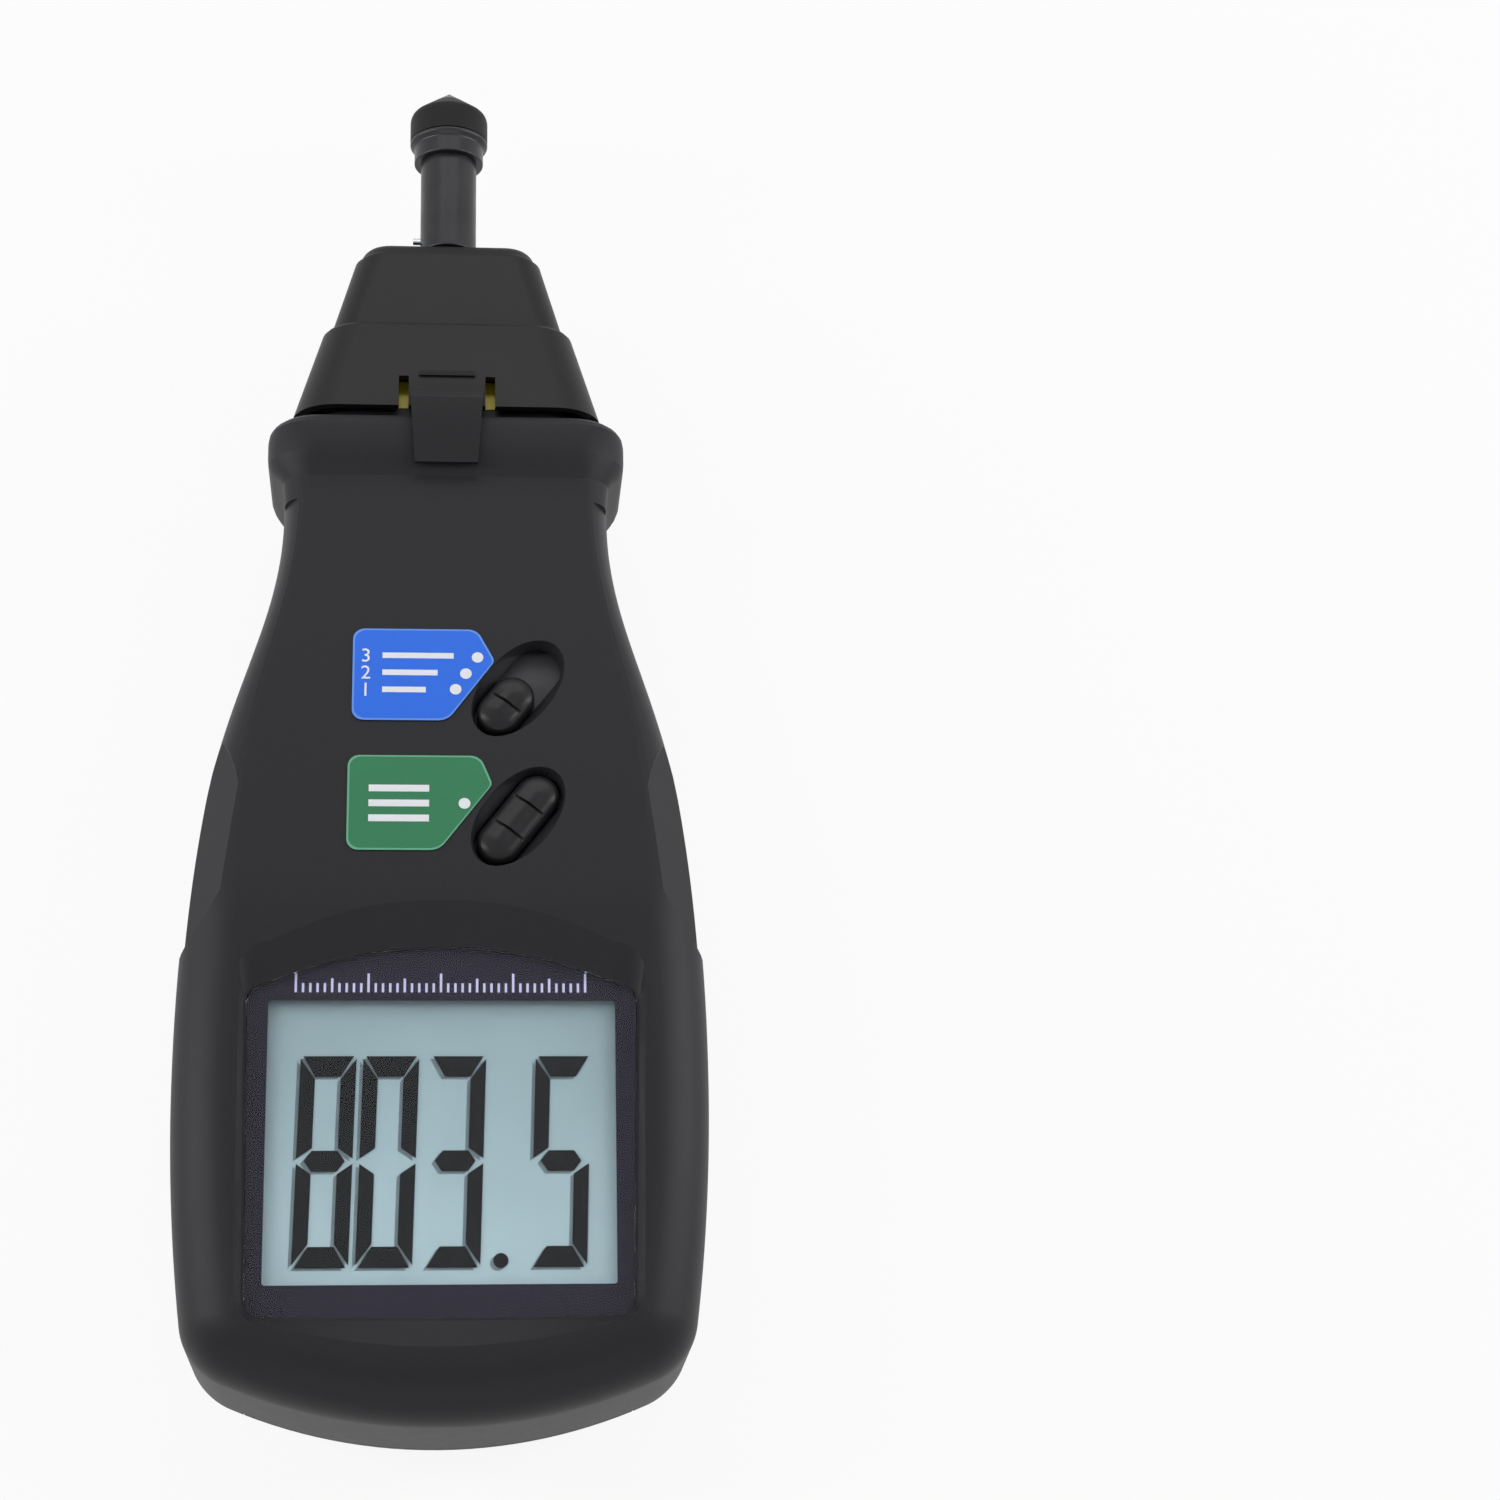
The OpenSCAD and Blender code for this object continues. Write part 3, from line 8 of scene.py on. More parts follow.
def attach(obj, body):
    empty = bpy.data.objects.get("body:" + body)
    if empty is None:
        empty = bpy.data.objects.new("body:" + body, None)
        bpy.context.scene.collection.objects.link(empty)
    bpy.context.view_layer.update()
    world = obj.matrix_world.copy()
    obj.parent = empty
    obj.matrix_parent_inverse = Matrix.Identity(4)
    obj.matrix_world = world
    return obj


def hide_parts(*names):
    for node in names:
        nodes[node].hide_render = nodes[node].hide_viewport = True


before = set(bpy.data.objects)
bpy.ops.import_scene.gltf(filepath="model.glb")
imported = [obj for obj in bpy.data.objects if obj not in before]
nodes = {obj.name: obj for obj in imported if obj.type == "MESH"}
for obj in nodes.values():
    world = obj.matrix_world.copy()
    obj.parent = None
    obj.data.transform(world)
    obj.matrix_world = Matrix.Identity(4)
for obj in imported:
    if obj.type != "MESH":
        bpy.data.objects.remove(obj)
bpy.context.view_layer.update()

# Sizes, in millimetres
MM = 0.001
TOTAL_L = 202.376
BODY_T = 37.0
AXIS_Z = BODY_T / 2
BELLY_W, BELLY_S, SIDE_R = 72.0, 45.0, 250.0
END_R, CORNER_R = 72.0, 9.5
SLOPE_S, NECK_S, FLANGE_S, NOSE_S = 70.0, 129.0, 143.0, 157.0
NECK_DROP = NECK_RISE = 5.5
NECK_EDGE = 3.5
NECK_HALF = 23.1
WALL = 2.0
SEAM_Z = 15.0
FRONT_EDGE, FRONT_EDGE_H = 8.0, 9.0
REAR_EDGE, REAR_EDGE_H = 6.5, 8.0
LENS_HALF, LENS_S, LENS_L, LENS_RISE, LENS_SAG, LENS_CORNER = 26.0, 13.4, 44.6, 5.0, 0.3, 2.6
LENS_TOP_Z, LENS_T, BORDER_T = 35.4, 1.4, 0.25
LENS_Z = LENS_TOP_Z - LENS_T
BORDER_Z = LENS_Z - BORDER_T
VIEW_W, VIEW_L, VIEW_S = 46.2, 38.2, 17.7
SEGMENT_TOP_Z = 32.45
MODE_S, MEMORY_S, CONTROL_X, CONTROL_TURN = 100.6, 81.4, 10.1, 37.0
CONTROL_L, CONTROL_W = 17.0, 10.0
SLOT_W, SLOT_L = 6.7, 15.4
KNOB_L, KNOB_W, KNOB_LOW, MODE_REST = 9.2, 6.1, -3.3, -2.8
GRIP_S, GRIP_X, GRIP_R, GRIP_SLOPE = 81.5, 27.4, 25.7, 57
COVER_HALF, COVER_L, CREST_H, CREST_HALF, COVER_GAP = 26.5, 67.8, 4.6, 20.4, 0.2
END_CUT_S, END_CUT_Z = 8.0, 8.6
LEDGE_HALF, LEDGE_S, LEDGE_LOW_Z, LEDGE_TOP_Z = 22, 3.6, 7.6, 10.0
BAY_HALF, BAY_FOOT_S, BAY_HEAD_S, BAY_WALL, BAY_ROOF_Z, BAY_TOP_Z = 26.6, 9.0, 67.6, 0.9, 16.8, 17.8
THROAT_HALF, THROAT_FOOT_S, THROAT_HEAD_S = 16.5, NECK_S - 1.5, NECK_S + 5.5
THROAT_FRONT_Z, THROAT_BACK_Z = AXIS_Z + 8.5, AXIS_Z - 7.5
OVAL_S, RIB_PITCH, RIB_HALF, RIB_R, RIB_COUNT = 65.0, 1.76, 10.2, 0.42, 5
SKIRT_S, STEP_S, HOOD_S = 144.8, 159.8, 174.3
SKIRT_W, SKIRT_T, SKIRT_END_W, SKIRT_END_T = 44.4, 24.4, 36, 17.4
SKIRT_R, SKIRT_END_R, SKIRT_EDGE = 6.5, 5.6, 0.7
CAP_HALF_W, CAP_HALF_T, CAP_END_HALF_W, CAP_END_HALF_T = 17, 7.7, 13, 5.8
CAP_R, CAP_END_R, CAP_EDGE, CAP_DRAW = 4.8, 4.6, 2.4, 1.9
HOOD_WALL, HOOD_BORE = 1.4, 2.6
HUB_S, HUB_R, HUB_BORE = 162.9, 5.0, 3.52
TUBE_S, PIN_S, RING_S, COLLAR_S, RUBBER_S = 174.8, 177.2, 190.1, 192.7, 193.7
FACE_TILT = math.atan(NECK_DROP / (NECK_S - SLOPE_S))


def spot(x, s, z):
    """A place in the model's frame: s counts from the meter's bottom end."""
    return Vector((x, s - TOTAL_L / 2, z)) * MM


# Meshes


def link(data, name):
    piece = bpy.data.objects.new(name, data)
    bpy.context.scene.collection.objects.link(piece)
    return piece


def from_points(name, points, faces):
    mesh = bpy.data.meshes.new(name)
    mesh.from_pydata([spot(*p) for p in points], [], faces)
    mesh.validate()
    bm = bmesh.new()
    bm.from_mesh(mesh)
    bmesh.ops.remove_doubles(bm, verts=bm.verts, dist=1e-7)
    bmesh.ops.recalc_face_normals(bm, faces=bm.faces)
    bm.to_mesh(mesh)
    bm.free()
    mesh.update()
    return link(mesh, name)


def bake(piece):
    """Turns what the modifiers make into the piece's own mesh."""
    graph = bpy.context.evaluated_depsgraph_get()
    made = bpy.data.meshes.new_from_object(piece.evaluated_get(graph))
    old = piece.data
    piece.modifiers.clear()
    piece.data = made
    bpy.data.meshes.remove(old)
    made.name = piece.name
    return piece


def combine(piece, tool, how):
    mod = piece.modifiers.new("shape", "BOOLEAN")
    mod.operation, mod.solver, mod.object = how, "MANIFOLD", tool
    bake(piece)
    bpy.data.objects.remove(tool)
    return piece


def cut(piece, *tools):
    for tool in tools:
        combine(piece, tool, "DIFFERENCE")
    return piece


def join(piece, *tools):
    for tool in tools:
        combine(piece, tool, "UNION")
    return piece


def dress(piece, material, body, slot, *stands_for, bevel=0.0, sharp=38.0, segments=2):
    """Rounds the edges, shades the piece smooth, and gives it its finish and body."""
    if bevel:
        mod = piece.modifiers.new("edges", "BEVEL")
        mod.width, mod.segments = bevel * MM, segments
        mod.limit_method, mod.angle_limit = "ANGLE", math.radians(sharp)
        mod.use_clamp_overlap = True
        bake(piece)
    mesh = piece.data
    bm = bmesh.new()
    bm.from_mesh(mesh)
    for face in bm.faces:
        face.smooth = True
    for edge in bm.edges:
        edge.smooth = not (len(edge.link_faces) == 2 and edge.calc_face_angle(0) > math.radians(sharp))
    bm.to_mesh(mesh)
    bm.free()
    mod = piece.modifiers.new("normals", "WEIGHTED_NORMAL")
    mod.keep_sharp, mod.weight = True, 50
    bake(piece)
    piece.data.materials.clear()
    piece.data.materials.append(material)
    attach(piece, body)
    if stands_for:
        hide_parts(*stands_for)
    return piece


def arc(x, s, r, first, last, steps):
    """Points of an arc about a centre, from one angle to another in degrees."""
    turns = [math.radians(first + (last - first) * i / steps) for i in range(steps + 1)]
    return [(x + r * math.cos(a), s + r * math.sin(a)) for a in turns]


def loft(name, rings):
    """Skin over rings of equal point count, with a flat end on each."""
    n = len(rings[0])
    points = [p for ring in rings for p in ring]
    faces = [
        (k * n + i, k * n + (i + 1) % n, (k + 1) * n + (i + 1) % n, (k + 1) * n + i)
        for k in range(len(rings) - 1) for i in range(n)]
    faces.append(tuple(reversed(range(n))))
    faces.append(tuple((len(rings) - 1) * n + i for i in range(n)))
    return from_points(name, points, faces)


def prism(name, outline, low, high):
    return loft(name, [[(x, s, low) for x, s in outline], [(x, s, high) for x, s in outline]])


def block(name, low, high):
    (x0, s0, z0), (x1, s1, z1) = low, high
    return prism(name, [(x0, s0), (x1, s0), (x1, s1), (x0, s1)], z0, z1)


def move(piece, matrix):
    """Moves a piece's mesh by a matrix whose lengths are millimetres in the meter's own places."""
    origin = spot(0, 0, 0)
    scaled = matrix.copy()
    scaled.translation = matrix.translation * MM
    piece.data.transform(Matrix.Translation(origin) @ scaled @ Matrix.Translation(-origin))
    return piece


def lathe(name, profile, steps=96):
    """Turned piece on the spindle axis; the profile gives radius and place along the meter."""
    points, faces = [], []
    n = len(profile)
    for k in range(steps):
        a = 2 * math.pi * k / steps
        for r, s in profile:
            points.append((r * math.cos(a), s, AXIS_Z + r * math.sin(a)))
    closed = profile[0][0] > 0 and profile[-1][0] > 0
    for k in range(steps):
        m = (k + 1) % steps
        for i in range(n if closed else n - 1):
            j = (i + 1) % n
            faces.append((k * n + i, k * n + j, m * n + j, m * n + i))
    return from_points(name, points, faces)


def rounded_profile(corners, radius, steps=4):
    """Profile whose inner corners are rounded by a radius, for turned pieces."""
    out = [corners[0]]
    for a, b, c in zip(corners, corners[1:], corners[2:]):
        va, vb, vc = Vector(a), Vector(b), Vector(c)
        reach = min(radius, (va - vb).length * 0.45, (vc - vb).length * 0.45)
        start = vb + (va - vb).normalized() * reach
        end = vb + (vc - vb).normalized() * reach
        for i in range(steps + 1):
            t = i / steps
            p = start * (1 - t) ** 2 + vb * 2 * t * (1 - t) + end * t * t
            out.append((p.x, p.y))
    out.append(corners[-1])
    return out


# The case's shape


def ease(u):
    v = max(0.0, min(1.0, u))
    return v * v * (3 - 2 * v)


def fall(s):
    return max(0.0, s - SLOPE_S) / (NECK_S - SLOPE_S)


def front_z(s):
    return BODY_T - NECK_DROP * fall(s)


def back_z(s):
    return NECK_RISE * fall(s)


def edge_w(s, belly_edge):
    return belly_edge + (NECK_EDGE - belly_edge) * ease((s - 60) / (NECK_S - 65))


def side_half(s):
    return BELLY_W / 2 - (BELLY_S - s) ** 2 / (2 * SIDE_R)


def side_turn(s):
    return math.atan((BELLY_S - s) / SIDE_R)


def corner_at(s):
    t = side_turn(s)
    return Vector((side_half(s) - CORNER_R * math.cos(t), s + CORNER_R * math.sin(t)))


def half_outline():
    """Right half of the case's outline, from the bottom centre to the neck."""
    low, high = 3.0, BELLY_S - 5
    for _ in range(40):
        mid = (low + high) / 2
        if (corner_at(mid) - Vector((0, END_R))).length > END_R - CORNER_R:
            low = mid
        else:
            high = mid
    side_s = (low + high) / 2
    centre = corner_at(side_s)
    corner = math.atan(centre.x / (END_R - centre.y))
    out = []
    for i in range(14):
        a = corner * i / 14
        out.append(Vector((END_R * math.sin(a), END_R * (1 - math.cos(a)))))
    first, last = corner - math.pi / 2, -side_turn(side_s)
    for i in range(17):
        a = first + (last - first) * i / 16
        out.append(centre + CORNER_R * Vector((math.cos(a), math.sin(a))))
    for i in range(1, 13):
        s = side_s + (BELLY_S - side_s) * i / 13
        out.append(Vector((side_half(s), s)))
    reach = NECK_S - BELLY_S
    a, b = Vector((BELLY_W / 2, BELLY_S)), Vector((BELLY_W / 2, BELLY_S + 55 / 84 * reach))
    c, d = Vector((NECK_HALF + 0.5, NECK_S - 24 / 84 * reach)), Vector((NECK_HALF, NECK_S))
    for i in range(49):
        t = i / 48
        out.append((1 - t) ** 3 * a + 3 * (1 - t) ** 2 * t * b + 3 * (1 - t) * t * t * c + t ** 3 * d)
    out.append(Vector((NECK_HALF, NECK_S + 4)))
    return out


HALF = half_outline()


def outward(i):
    a, b = HALF[max(0, i - 1)], HALF[min(len(HALF) - 1, i + 1)]
    t = Vector((1, 0)) if i == 0 else b - a
    return Vector((t.y, -t.x)).normalized()


def pulled_in(i, d):
    if i == len(HALF) - 1:
        return HALF[i] - Vector((d, 0))
    return HALF[i] - d * outward(i)


def shell_ring(angle, belly_edge, edge_h, side, inset):
    ring = []
    for i, q in enumerate(HALF):
        edge = max(0.6, edge_w(q.y, belly_edge) - inset)
        pull = inset + edge * (1 - math.cos(angle))
        if q.y < BELLY_S:
            pull = min(pull, CORNER_R - 0.3)
        face = front_z(q.y) - inset if side > 0 else back_z(q.y) + inset
        p = pulled_in(i, pull)
        s = p.y - inset if i == len(HALF) - 1 else p.y
        ring.append((p.x, s, face - side * max(1, edge_h - inset) * (1 - math.sin(angle))))
    return ring


def seam_ring(inset, z):
    ring = []
    for i in range(len(HALF)):
        p = pulled_in(i, inset)
        ring.append((p.x, p.y - inset if i == len(HALF) - 1 else p.y, z))
    return ring


def both(half):
    """A right half with its mirrored left half."""
    return half + [(-p[0],) + tuple(p[1:]) for p in reversed(half[1:])]


def half_case(name, side, belly_edge, edge_h, steps=10):
    """One half of the case as a closed wall; the front's inside has a plain slanted edge."""
    levels = [math.pi / 2 * k / steps for k in range(steps + 1)]
    outer = [seam_ring(0, SEAM_Z)] + [shell_ring(a, belly_edge, edge_h, side, 0) for a in levels]
    if side > 0:
        levels, belly_edge, edge_h = (0, math.pi / 2), belly_edge + WALL, edge_h + WALL + 2.5
    inner = [seam_ring(WALL, SEAM_Z)] + [shell_ring(a, belly_edge, edge_h, side, WALL) for a in levels]
    rings = [both(r) for r in outer] + [both(r) for r in inner]
    n, m, h = len(rings[0]), len(outer), len(HALF)
    points = [p for ring in rings for p in ring]

    def at(k, i):
        return k * n + i % n

    faces = []
    for k in list(range(m - 1)) + list(range(m, len(rings) - 1)):
        faces += [(at(k, i), at(k, i + 1), at(k + 1, i + 1), at(k + 1, i)) for i in range(n)]
    for k in (m - 1, len(rings) - 1):
        faces.append((at(k, 0), at(k, 1), at(k, n - 1)))
        faces += [(at(k, i), at(k, i + 1), at(k, n - i - 1), at(k, n - i)) for i in range(1, h - 1)]
    faces += [(at(0, i + 1), at(0, i), at(m, i), at(m, i + 1)) for i in range(n)]
    return from_points(name, points, faces)


def rounded_outline(half_w, half_l, r, steps=6):
    ring = []
    for q, (sx, sy) in enumerate(((1, 1), (-1, 1), (-1, -1), (1, -1))):
        ring += arc(sx * (half_w - r), sy * (half_l - r), r, 90 * q, 90 * q + 90, steps)
    return ring


def section(s, half_w, half_t, r):
    """Rounded rectangle across the meter at s."""
    return [(x, s, AXIS_Z + z) for x, z in rounded_outline(half_w, half_t, r, 8)]


# Flange bead and nose, as rows of place, half width, half thickness and corner radius
NECK_HALF_T = front_z(NECK_S) - AXIS_Z
BAND = [
    (NECK_S + 1, NECK_HALF - 0.3, NECK_HALF_T - 0.3, 3.5),
    (NECK_S + 4.6, NECK_HALF + 0.1, NECK_HALF_T - 0.2, 4.4),
    (NECK_S + 5.4, NECK_HALF + 0.6, NECK_HALF_T + 0.05, 4.8),
    (NECK_S + 6.1, 24.35, 13.25, 5.6),
    (NECK_S + 7, 25.0, 13.6, 6.4),
    (NECK_S + 8, 25.4, 13.88, 6.8),
    (NECK_S + 9.2, 25.5, 14, 7),
    (FLANGE_S - 2.6, 25.5, 14, 7),
    (FLANGE_S - 1.5, 25.3, 13.85, 6.9),
    (FLANGE_S - 0.7, 24.8, 13.4, 6.6),
    (FLANGE_S - 0.15, 24.1, 12.8, 6.2),
    (FLANGE_S, 23.3, 12, 6),
    (FLANGE_S + 0.1, 19, 10, 4.5),
    (NOSE_S, 14.5, 6.3, 2.4)]


def half_band(name, side):
    """Front or rear half of the flange bead and the nose, as a wall."""
    rings = []
    for s, w, t, r in BAND:
        iw, it, ir = (17.5, 8.5, 1.5) if s < NOSE_S else (13.0, 4.8, 1.0)
        outer, inner = section(s, w, t, r), section(s, iw, it, ir)
        half = len(outer) // 2
        kept = slice(0, half) if side > 0 else slice(half, None)
        ring = [(side * w, s, SEAM_Z)] + outer[kept] + [(-side * w, s, SEAM_Z)]
        ring += [(-side * iw, s, SEAM_Z)] + inner[kept][::-1] + [(side * iw, s, SEAM_Z)]
        rings.append(ring)
    return loft(name, rings)


def arch(half_top, half_low, low_s, side_s, rise, sag, r, corner_steps=8, steps=28):
    """Outline of the lens and its recess, with a bowed foot and an arched head."""
    half = []
    for i in range(steps):
        u = i / steps
        half.append((u * (half_low - r), low_s - sag * (1 - u * u)))
    half += arc(half_low - r, low_s + r, r, -90, 0, corner_steps)
    half += arc(half_top - r, side_s - r, r, 0, 90, corner_steps)
    for i in range(steps - 1, -1, -1):
        u = i / steps
        half.append((u * (half_top - r), side_s + rise * (1 - u * u)))
    return half + [(-x, s) for x, s in reversed(half[1:-1])]


def lens_outline(grow):
    return arch(LENS_HALF + grow, LENS_HALF - 0.7 + grow, LENS_S - grow, LENS_S + LENS_L + grow,
                LENS_RISE, LENS_SAG, LENS_CORNER + grow)


def recess_outline(k):
    inner = lens_outline(0.3)
    edge = arch(LENS_HALF + 1, LENS_HALF + 0.6, LENS_S - 1.2, LENS_S + LENS_L + 5.3, LENS_RISE + 1, 3.0, 4.0)
    return [(a + k * (c - a), b + k * (d - b)) for (a, b), (c, d) in zip(inner, edge)]


def lifted(outline, z):
    return [(x, s, z) for x, s in outline]


def on_face(x, s, turn=0.0):
    """Matrix of the sloping front at a place, turned in its plane."""
    return (Matrix.Translation((x, s, front_z(s))) @ Matrix.Rotation(-FACE_TILT, 4, "X")
            @ Matrix.Rotation(math.radians(-turn), 4, "Z"))


def half_turns(steps=16):
    """Angles round two half turns, each with 1 or -1 for the end that it belongs to."""
    first = [math.pi * i / steps for i in range(steps + 1)]
    return [(a, 1) for a in first] + [(a + math.pi, -1) for a in first]


def stadium(length, width, z):
    r = width / 2
    return [(r * math.cos(a), end * (length / 2 - r) + r * math.sin(a), z) for a, end in half_turns()]


def oval_ring(length, width):
    """Ellipse with as many points as a stadium; its two half turns start a little apart."""
    turns = [a - end * math.radians(0.4) for a, end in half_turns()]
    return [(width / 2 * math.cos(a), length / 2 * math.sin(a)) for a in turns]


def control_cut(name, s):
    """Tool that cuts a control's dish and slot; each row has a depth and how far the dish has closed in."""
    slot, wide = stadium(SLOT_L, SLOT_W, 0), oval_ring(CONTROL_L, CONTROL_W)
    rings = []
    for depth, part in ((-0.5, -0.08), (0.0, 0.0), (0.35, 0.16), (0.8, 0.4), (1.25, 0.68), (1.6, 0.9), (1.8, 1.0)):
        rings.append([(a[0] + part * (b[0] - a[0]), a[1] + part * (b[1] - a[1]), -depth)
                      for a, b in zip(wide, slot)])
    rings.append([(x, y, -6.0) for x, y, _ in slot])
    return move(loft(name, rings), on_face(CONTROL_X, s, CONTROL_TURN))


def finger_grip(name, side):
    """Tool that cuts a concave grip into the side of the front edge."""
    ring = arc(side * (GRIP_X + GRIP_R), GRIP_S, GRIP_R, 270 if side > 0 else -90, 90, 90)
    post = loft(name, [lifted(ring, 20), lifted(ring, 60)])
    wedge = block(name + "_wedge", (0, -GRIP_R, 0), (30, GRIP_R, 20))
    slope = Matrix.Rotation(math.radians(GRIP_SLOPE), 4, "Y")
    move(wedge, Matrix.Translation((GRIP_X - 0.2, GRIP_S, front_z(GRIP_S) - 1.2)) @ slope)
    if side < 0:
        wedge.data.transform(Matrix.Scale(-1, 4, (1, 0, 0)))
        wedge.data.flip_normals()
    return combine(post, wedge, "INTERSECT")


# Node trees and finishes


def tint(r, g, b):
    def channel(v):
        v /= 255
        return v / 12.92 if v <= 0.04045 else ((v + 0.055) / 1.055) ** 2.4
    return channel(r), channel(g), channel(b), 1.0


def new_group(name, inputs, outputs):
    group = bpy.data.node_groups.new(name, "ShaderNodeTree")
    for label, kind, value in inputs:
        sock = group.interface.new_socket(label, in_out="INPUT", socket_type=kind)
        sock.default_value = value
    for label, kind in outputs:
        group.interface.new_socket(label, in_out="OUTPUT", socket_type=kind)
    return group, group.nodes.new("NodeGroupInput"), group.nodes.new("NodeGroupOutput")


def fill(tree, node, inputs):
    """Gives each input a value, or a link from another node's socket."""
    for key, value in inputs.items():
        if isinstance(value, bpy.types.NodeSocket):
            tree.links.new(value, node.inputs[key])
        else:
            node.inputs[key].default_value = value


def add(tree, kind, inputs, **settings):
    """Adds a node and returns its first output."""
    node = tree.nodes.new(kind)
    for key, value in settings.items():
        setattr(node, key, value)
    fill(tree, node, inputs)
    return node.outputs[0]


def math_node(tree, how, a, b, clamp=False):
    return add(tree, "ShaderNodeMath", {0: a, 1: b}, operation=how, use_clamp=clamp)


def times(tree, a, b):
    return math_node(tree, "MULTIPLY", a, b)


def own_place(tree):
    return tree.nodes.new("ShaderNodeTexCoord").outputs["Object"]


def shaded(tree, colour, level):
    """A colour taken lighter or darker by a level."""
    return add(tree, "ShaderNodeVectorMath", {0: colour, "Scale": level}, operation="SCALE")


def background_rays(tree):
    """1 for the rays that see the background: camera, glossy and transmission."""
    path = tree.nodes.new("ShaderNodeLightPath").outputs
    both_seen = math_node(tree, "ADD", path["Is Camera Ray"], path["Is Glossy Ray"], clamp=True)
    return math_node(tree, "ADD", both_seen, path["Is Transmission Ray"], clamp=True)


def noise(tree, vector, scale, detail=3.0, rough=0.5):
    return add(tree, "ShaderNodeTexNoise", {"Vector": vector, "Scale": scale, "Detail": detail, "Roughness": rough})


def place_ramp(tree, axis, scale, start, low, high, cloud=0.0):
    """Ramp between two colours along one axis of the piece's own place, with some cloud in it."""
    split = tree.nodes.new("ShaderNodeSeparateXYZ")
    tree.links.new(own_place(tree), split.inputs[0])
    level = math_node(tree, "ADD", times(tree, split.outputs[axis], scale), start, clamp=True)
    if cloud:
        drift = math_node(tree, "SUBTRACT", noise(tree, own_place(tree), 60.0), 0.5)
        level = math_node(tree, "ADD", level, times(tree, drift, cloud), clamp=True)
    ramp = tree.nodes.new("ShaderNodeValToRGB")
    for element, colour in zip(ramp.color_ramp.elements, (low, high)):
        element.color = tint(*colour)
    tree.links.new(level, ramp.inputs[0])
    return ramp


def moulded_grain():
    """Fine spark-eroded grain: a height for bump, a colour mottle and a roughness value."""
    group, get, put = new_group(
        "moulded_grain",
        [("Scale", "NodeSocketFloat", 2500.0), ("Base", "NodeSocketColor", (0.04, 0.04, 0.04, 1)),
         ("Mottle", "NodeSocketFloat", 0.12), ("Roughness", "NodeSocketFloat", 0.5),
         ("Smudge", "NodeSocketFloat", 0.08)],
        [("Color", "NodeSocketColor"), ("Roughness", "NodeSocketFloat"), ("Height", "NodeSocketFloat")])
    given, place = get.outputs, own_place(group)
    fine = noise(group, place, given["Scale"], 2.0, 0.6)
    coarse = noise(group, place, times(group, given["Scale"], 0.31), 2.0)
    height = math_node(group, "ADD", times(group, fine, 0.6), times(group, coarse, 0.4))
    speck = math_node(group, "SUBTRACT", height, 0.5)
    level = math_node(group, "ADD", 1.0, times(group, speck, times(group, given["Mottle"], 4.0)))
    smear = math_node(group, "SUBTRACT", noise(group, place, 38.0, 4.0, 0.6), 0.5)
    change = math_node(group, "ADD", times(group, smear, given["Smudge"]), times(group, speck, 0.15))
    rough = math_node(group, "ADD", given["Roughness"], change, clamp=True)
    fill(group, put, {"Color": shaded(group, given["Base"], level), "Roughness": rough, "Height": height})
    return group


def brushed():
    """Turning marks round the spindle axis for metal pieces."""
    group, get, put = new_group(
        "turning_marks",
        [("Base", "NodeSocketColor", (0.5, 0.5, 0.5, 1)), ("Roughness", "NodeSocketFloat", 0.3),
         ("Pitch", "NodeSocketFloat", 6000.0)],
        [("Color", "NodeSocketColor"), ("Roughness", "NodeSocketFloat"), ("Height", "NodeSocketFloat")])
    given, place = get.outputs, own_place(group)
    squeezed = add(group, "ShaderNodeVectorMath", {0: place, 1: (0.03, 1.0, 0.03)}, operation="MULTIPLY")
    lines = noise(group, squeezed, given["Pitch"], 2.0, 0.7)
    wear = noise(group, place, 260.0, 4.0, 0.6)
    level = math_node(group, "ADD", 0.85, times(group, wear, 0.3))
    change = times(group, math_node(group, "SUBTRACT", wear, 0.5), 0.3)
    rough = math_node(group, "ADD", given["Roughness"], change, clamp=True)
    fill(group, put, {"Color": shaded(group, given["Base"], level), "Roughness": rough, "Height": lines})
    return group


GRAIN = moulded_grain()
TURNED = brushed()


def material(name, metallic=0.0, coat=0.0, transmission=0.0, specular=0.5, alpha=1.0):
    made = bpy.data.materials.new(name)
    made.use_nodes = True
    tree = made.node_tree
    shader = tree.nodes["Principled BSDF"]
    fill(tree, shader, {"Metallic": metallic, "Coat Weight": coat, "Transmission Weight": transmission,
                        "Specular IOR Level": specular, "Alpha": alpha})
    return made, tree, shader


def bump(tree, height, strength, depth):
    return add(tree, "ShaderNodeBump", {"Height": height, "Strength": strength, "Distance": depth * MM})


def grouped(made, group, bump_strength, bump_depth, **values):
    """Sets a surface group's own inputs and feeds its colour, roughness and height to the shader."""
    whole, tree, shader = made
    node = tree.nodes.new("ShaderNodeGroup")
    node.node_tree = group
    fill(tree, node, values)
    fill(tree, shader, {"Base Color": node.outputs["Color"], "Roughness": node.outputs["Roughness"]})
    if bump_depth:
        fill(tree, shader, {"Normal": bump(tree, node.outputs["Height"], bump_strength, bump_depth)})
    return whole


def moulded(name, colour, rough, scale=2600.0, depth=0.02, mottle=0.12, **kind):
    return grouped(material(name, **kind), GRAIN, 0.5, depth, Base=tint(*colour), Scale=scale, Mottle=mottle,
                   Roughness=rough, Smudge=0.08)


def printed(name, colour, rough, mottle=0.03, scale=1500, depth=0.0, **kind):
    return moulded(name, colour, rough, scale, depth, mottle, **kind)


def turned_metal(name, colour, rough, pitch=6000.0, metallic=1.0):
    return grouped(material(name, metallic=metallic), TURNED, 0.3, 0.01, Base=tint(*colour), Roughness=rough,
                   Pitch=pitch)


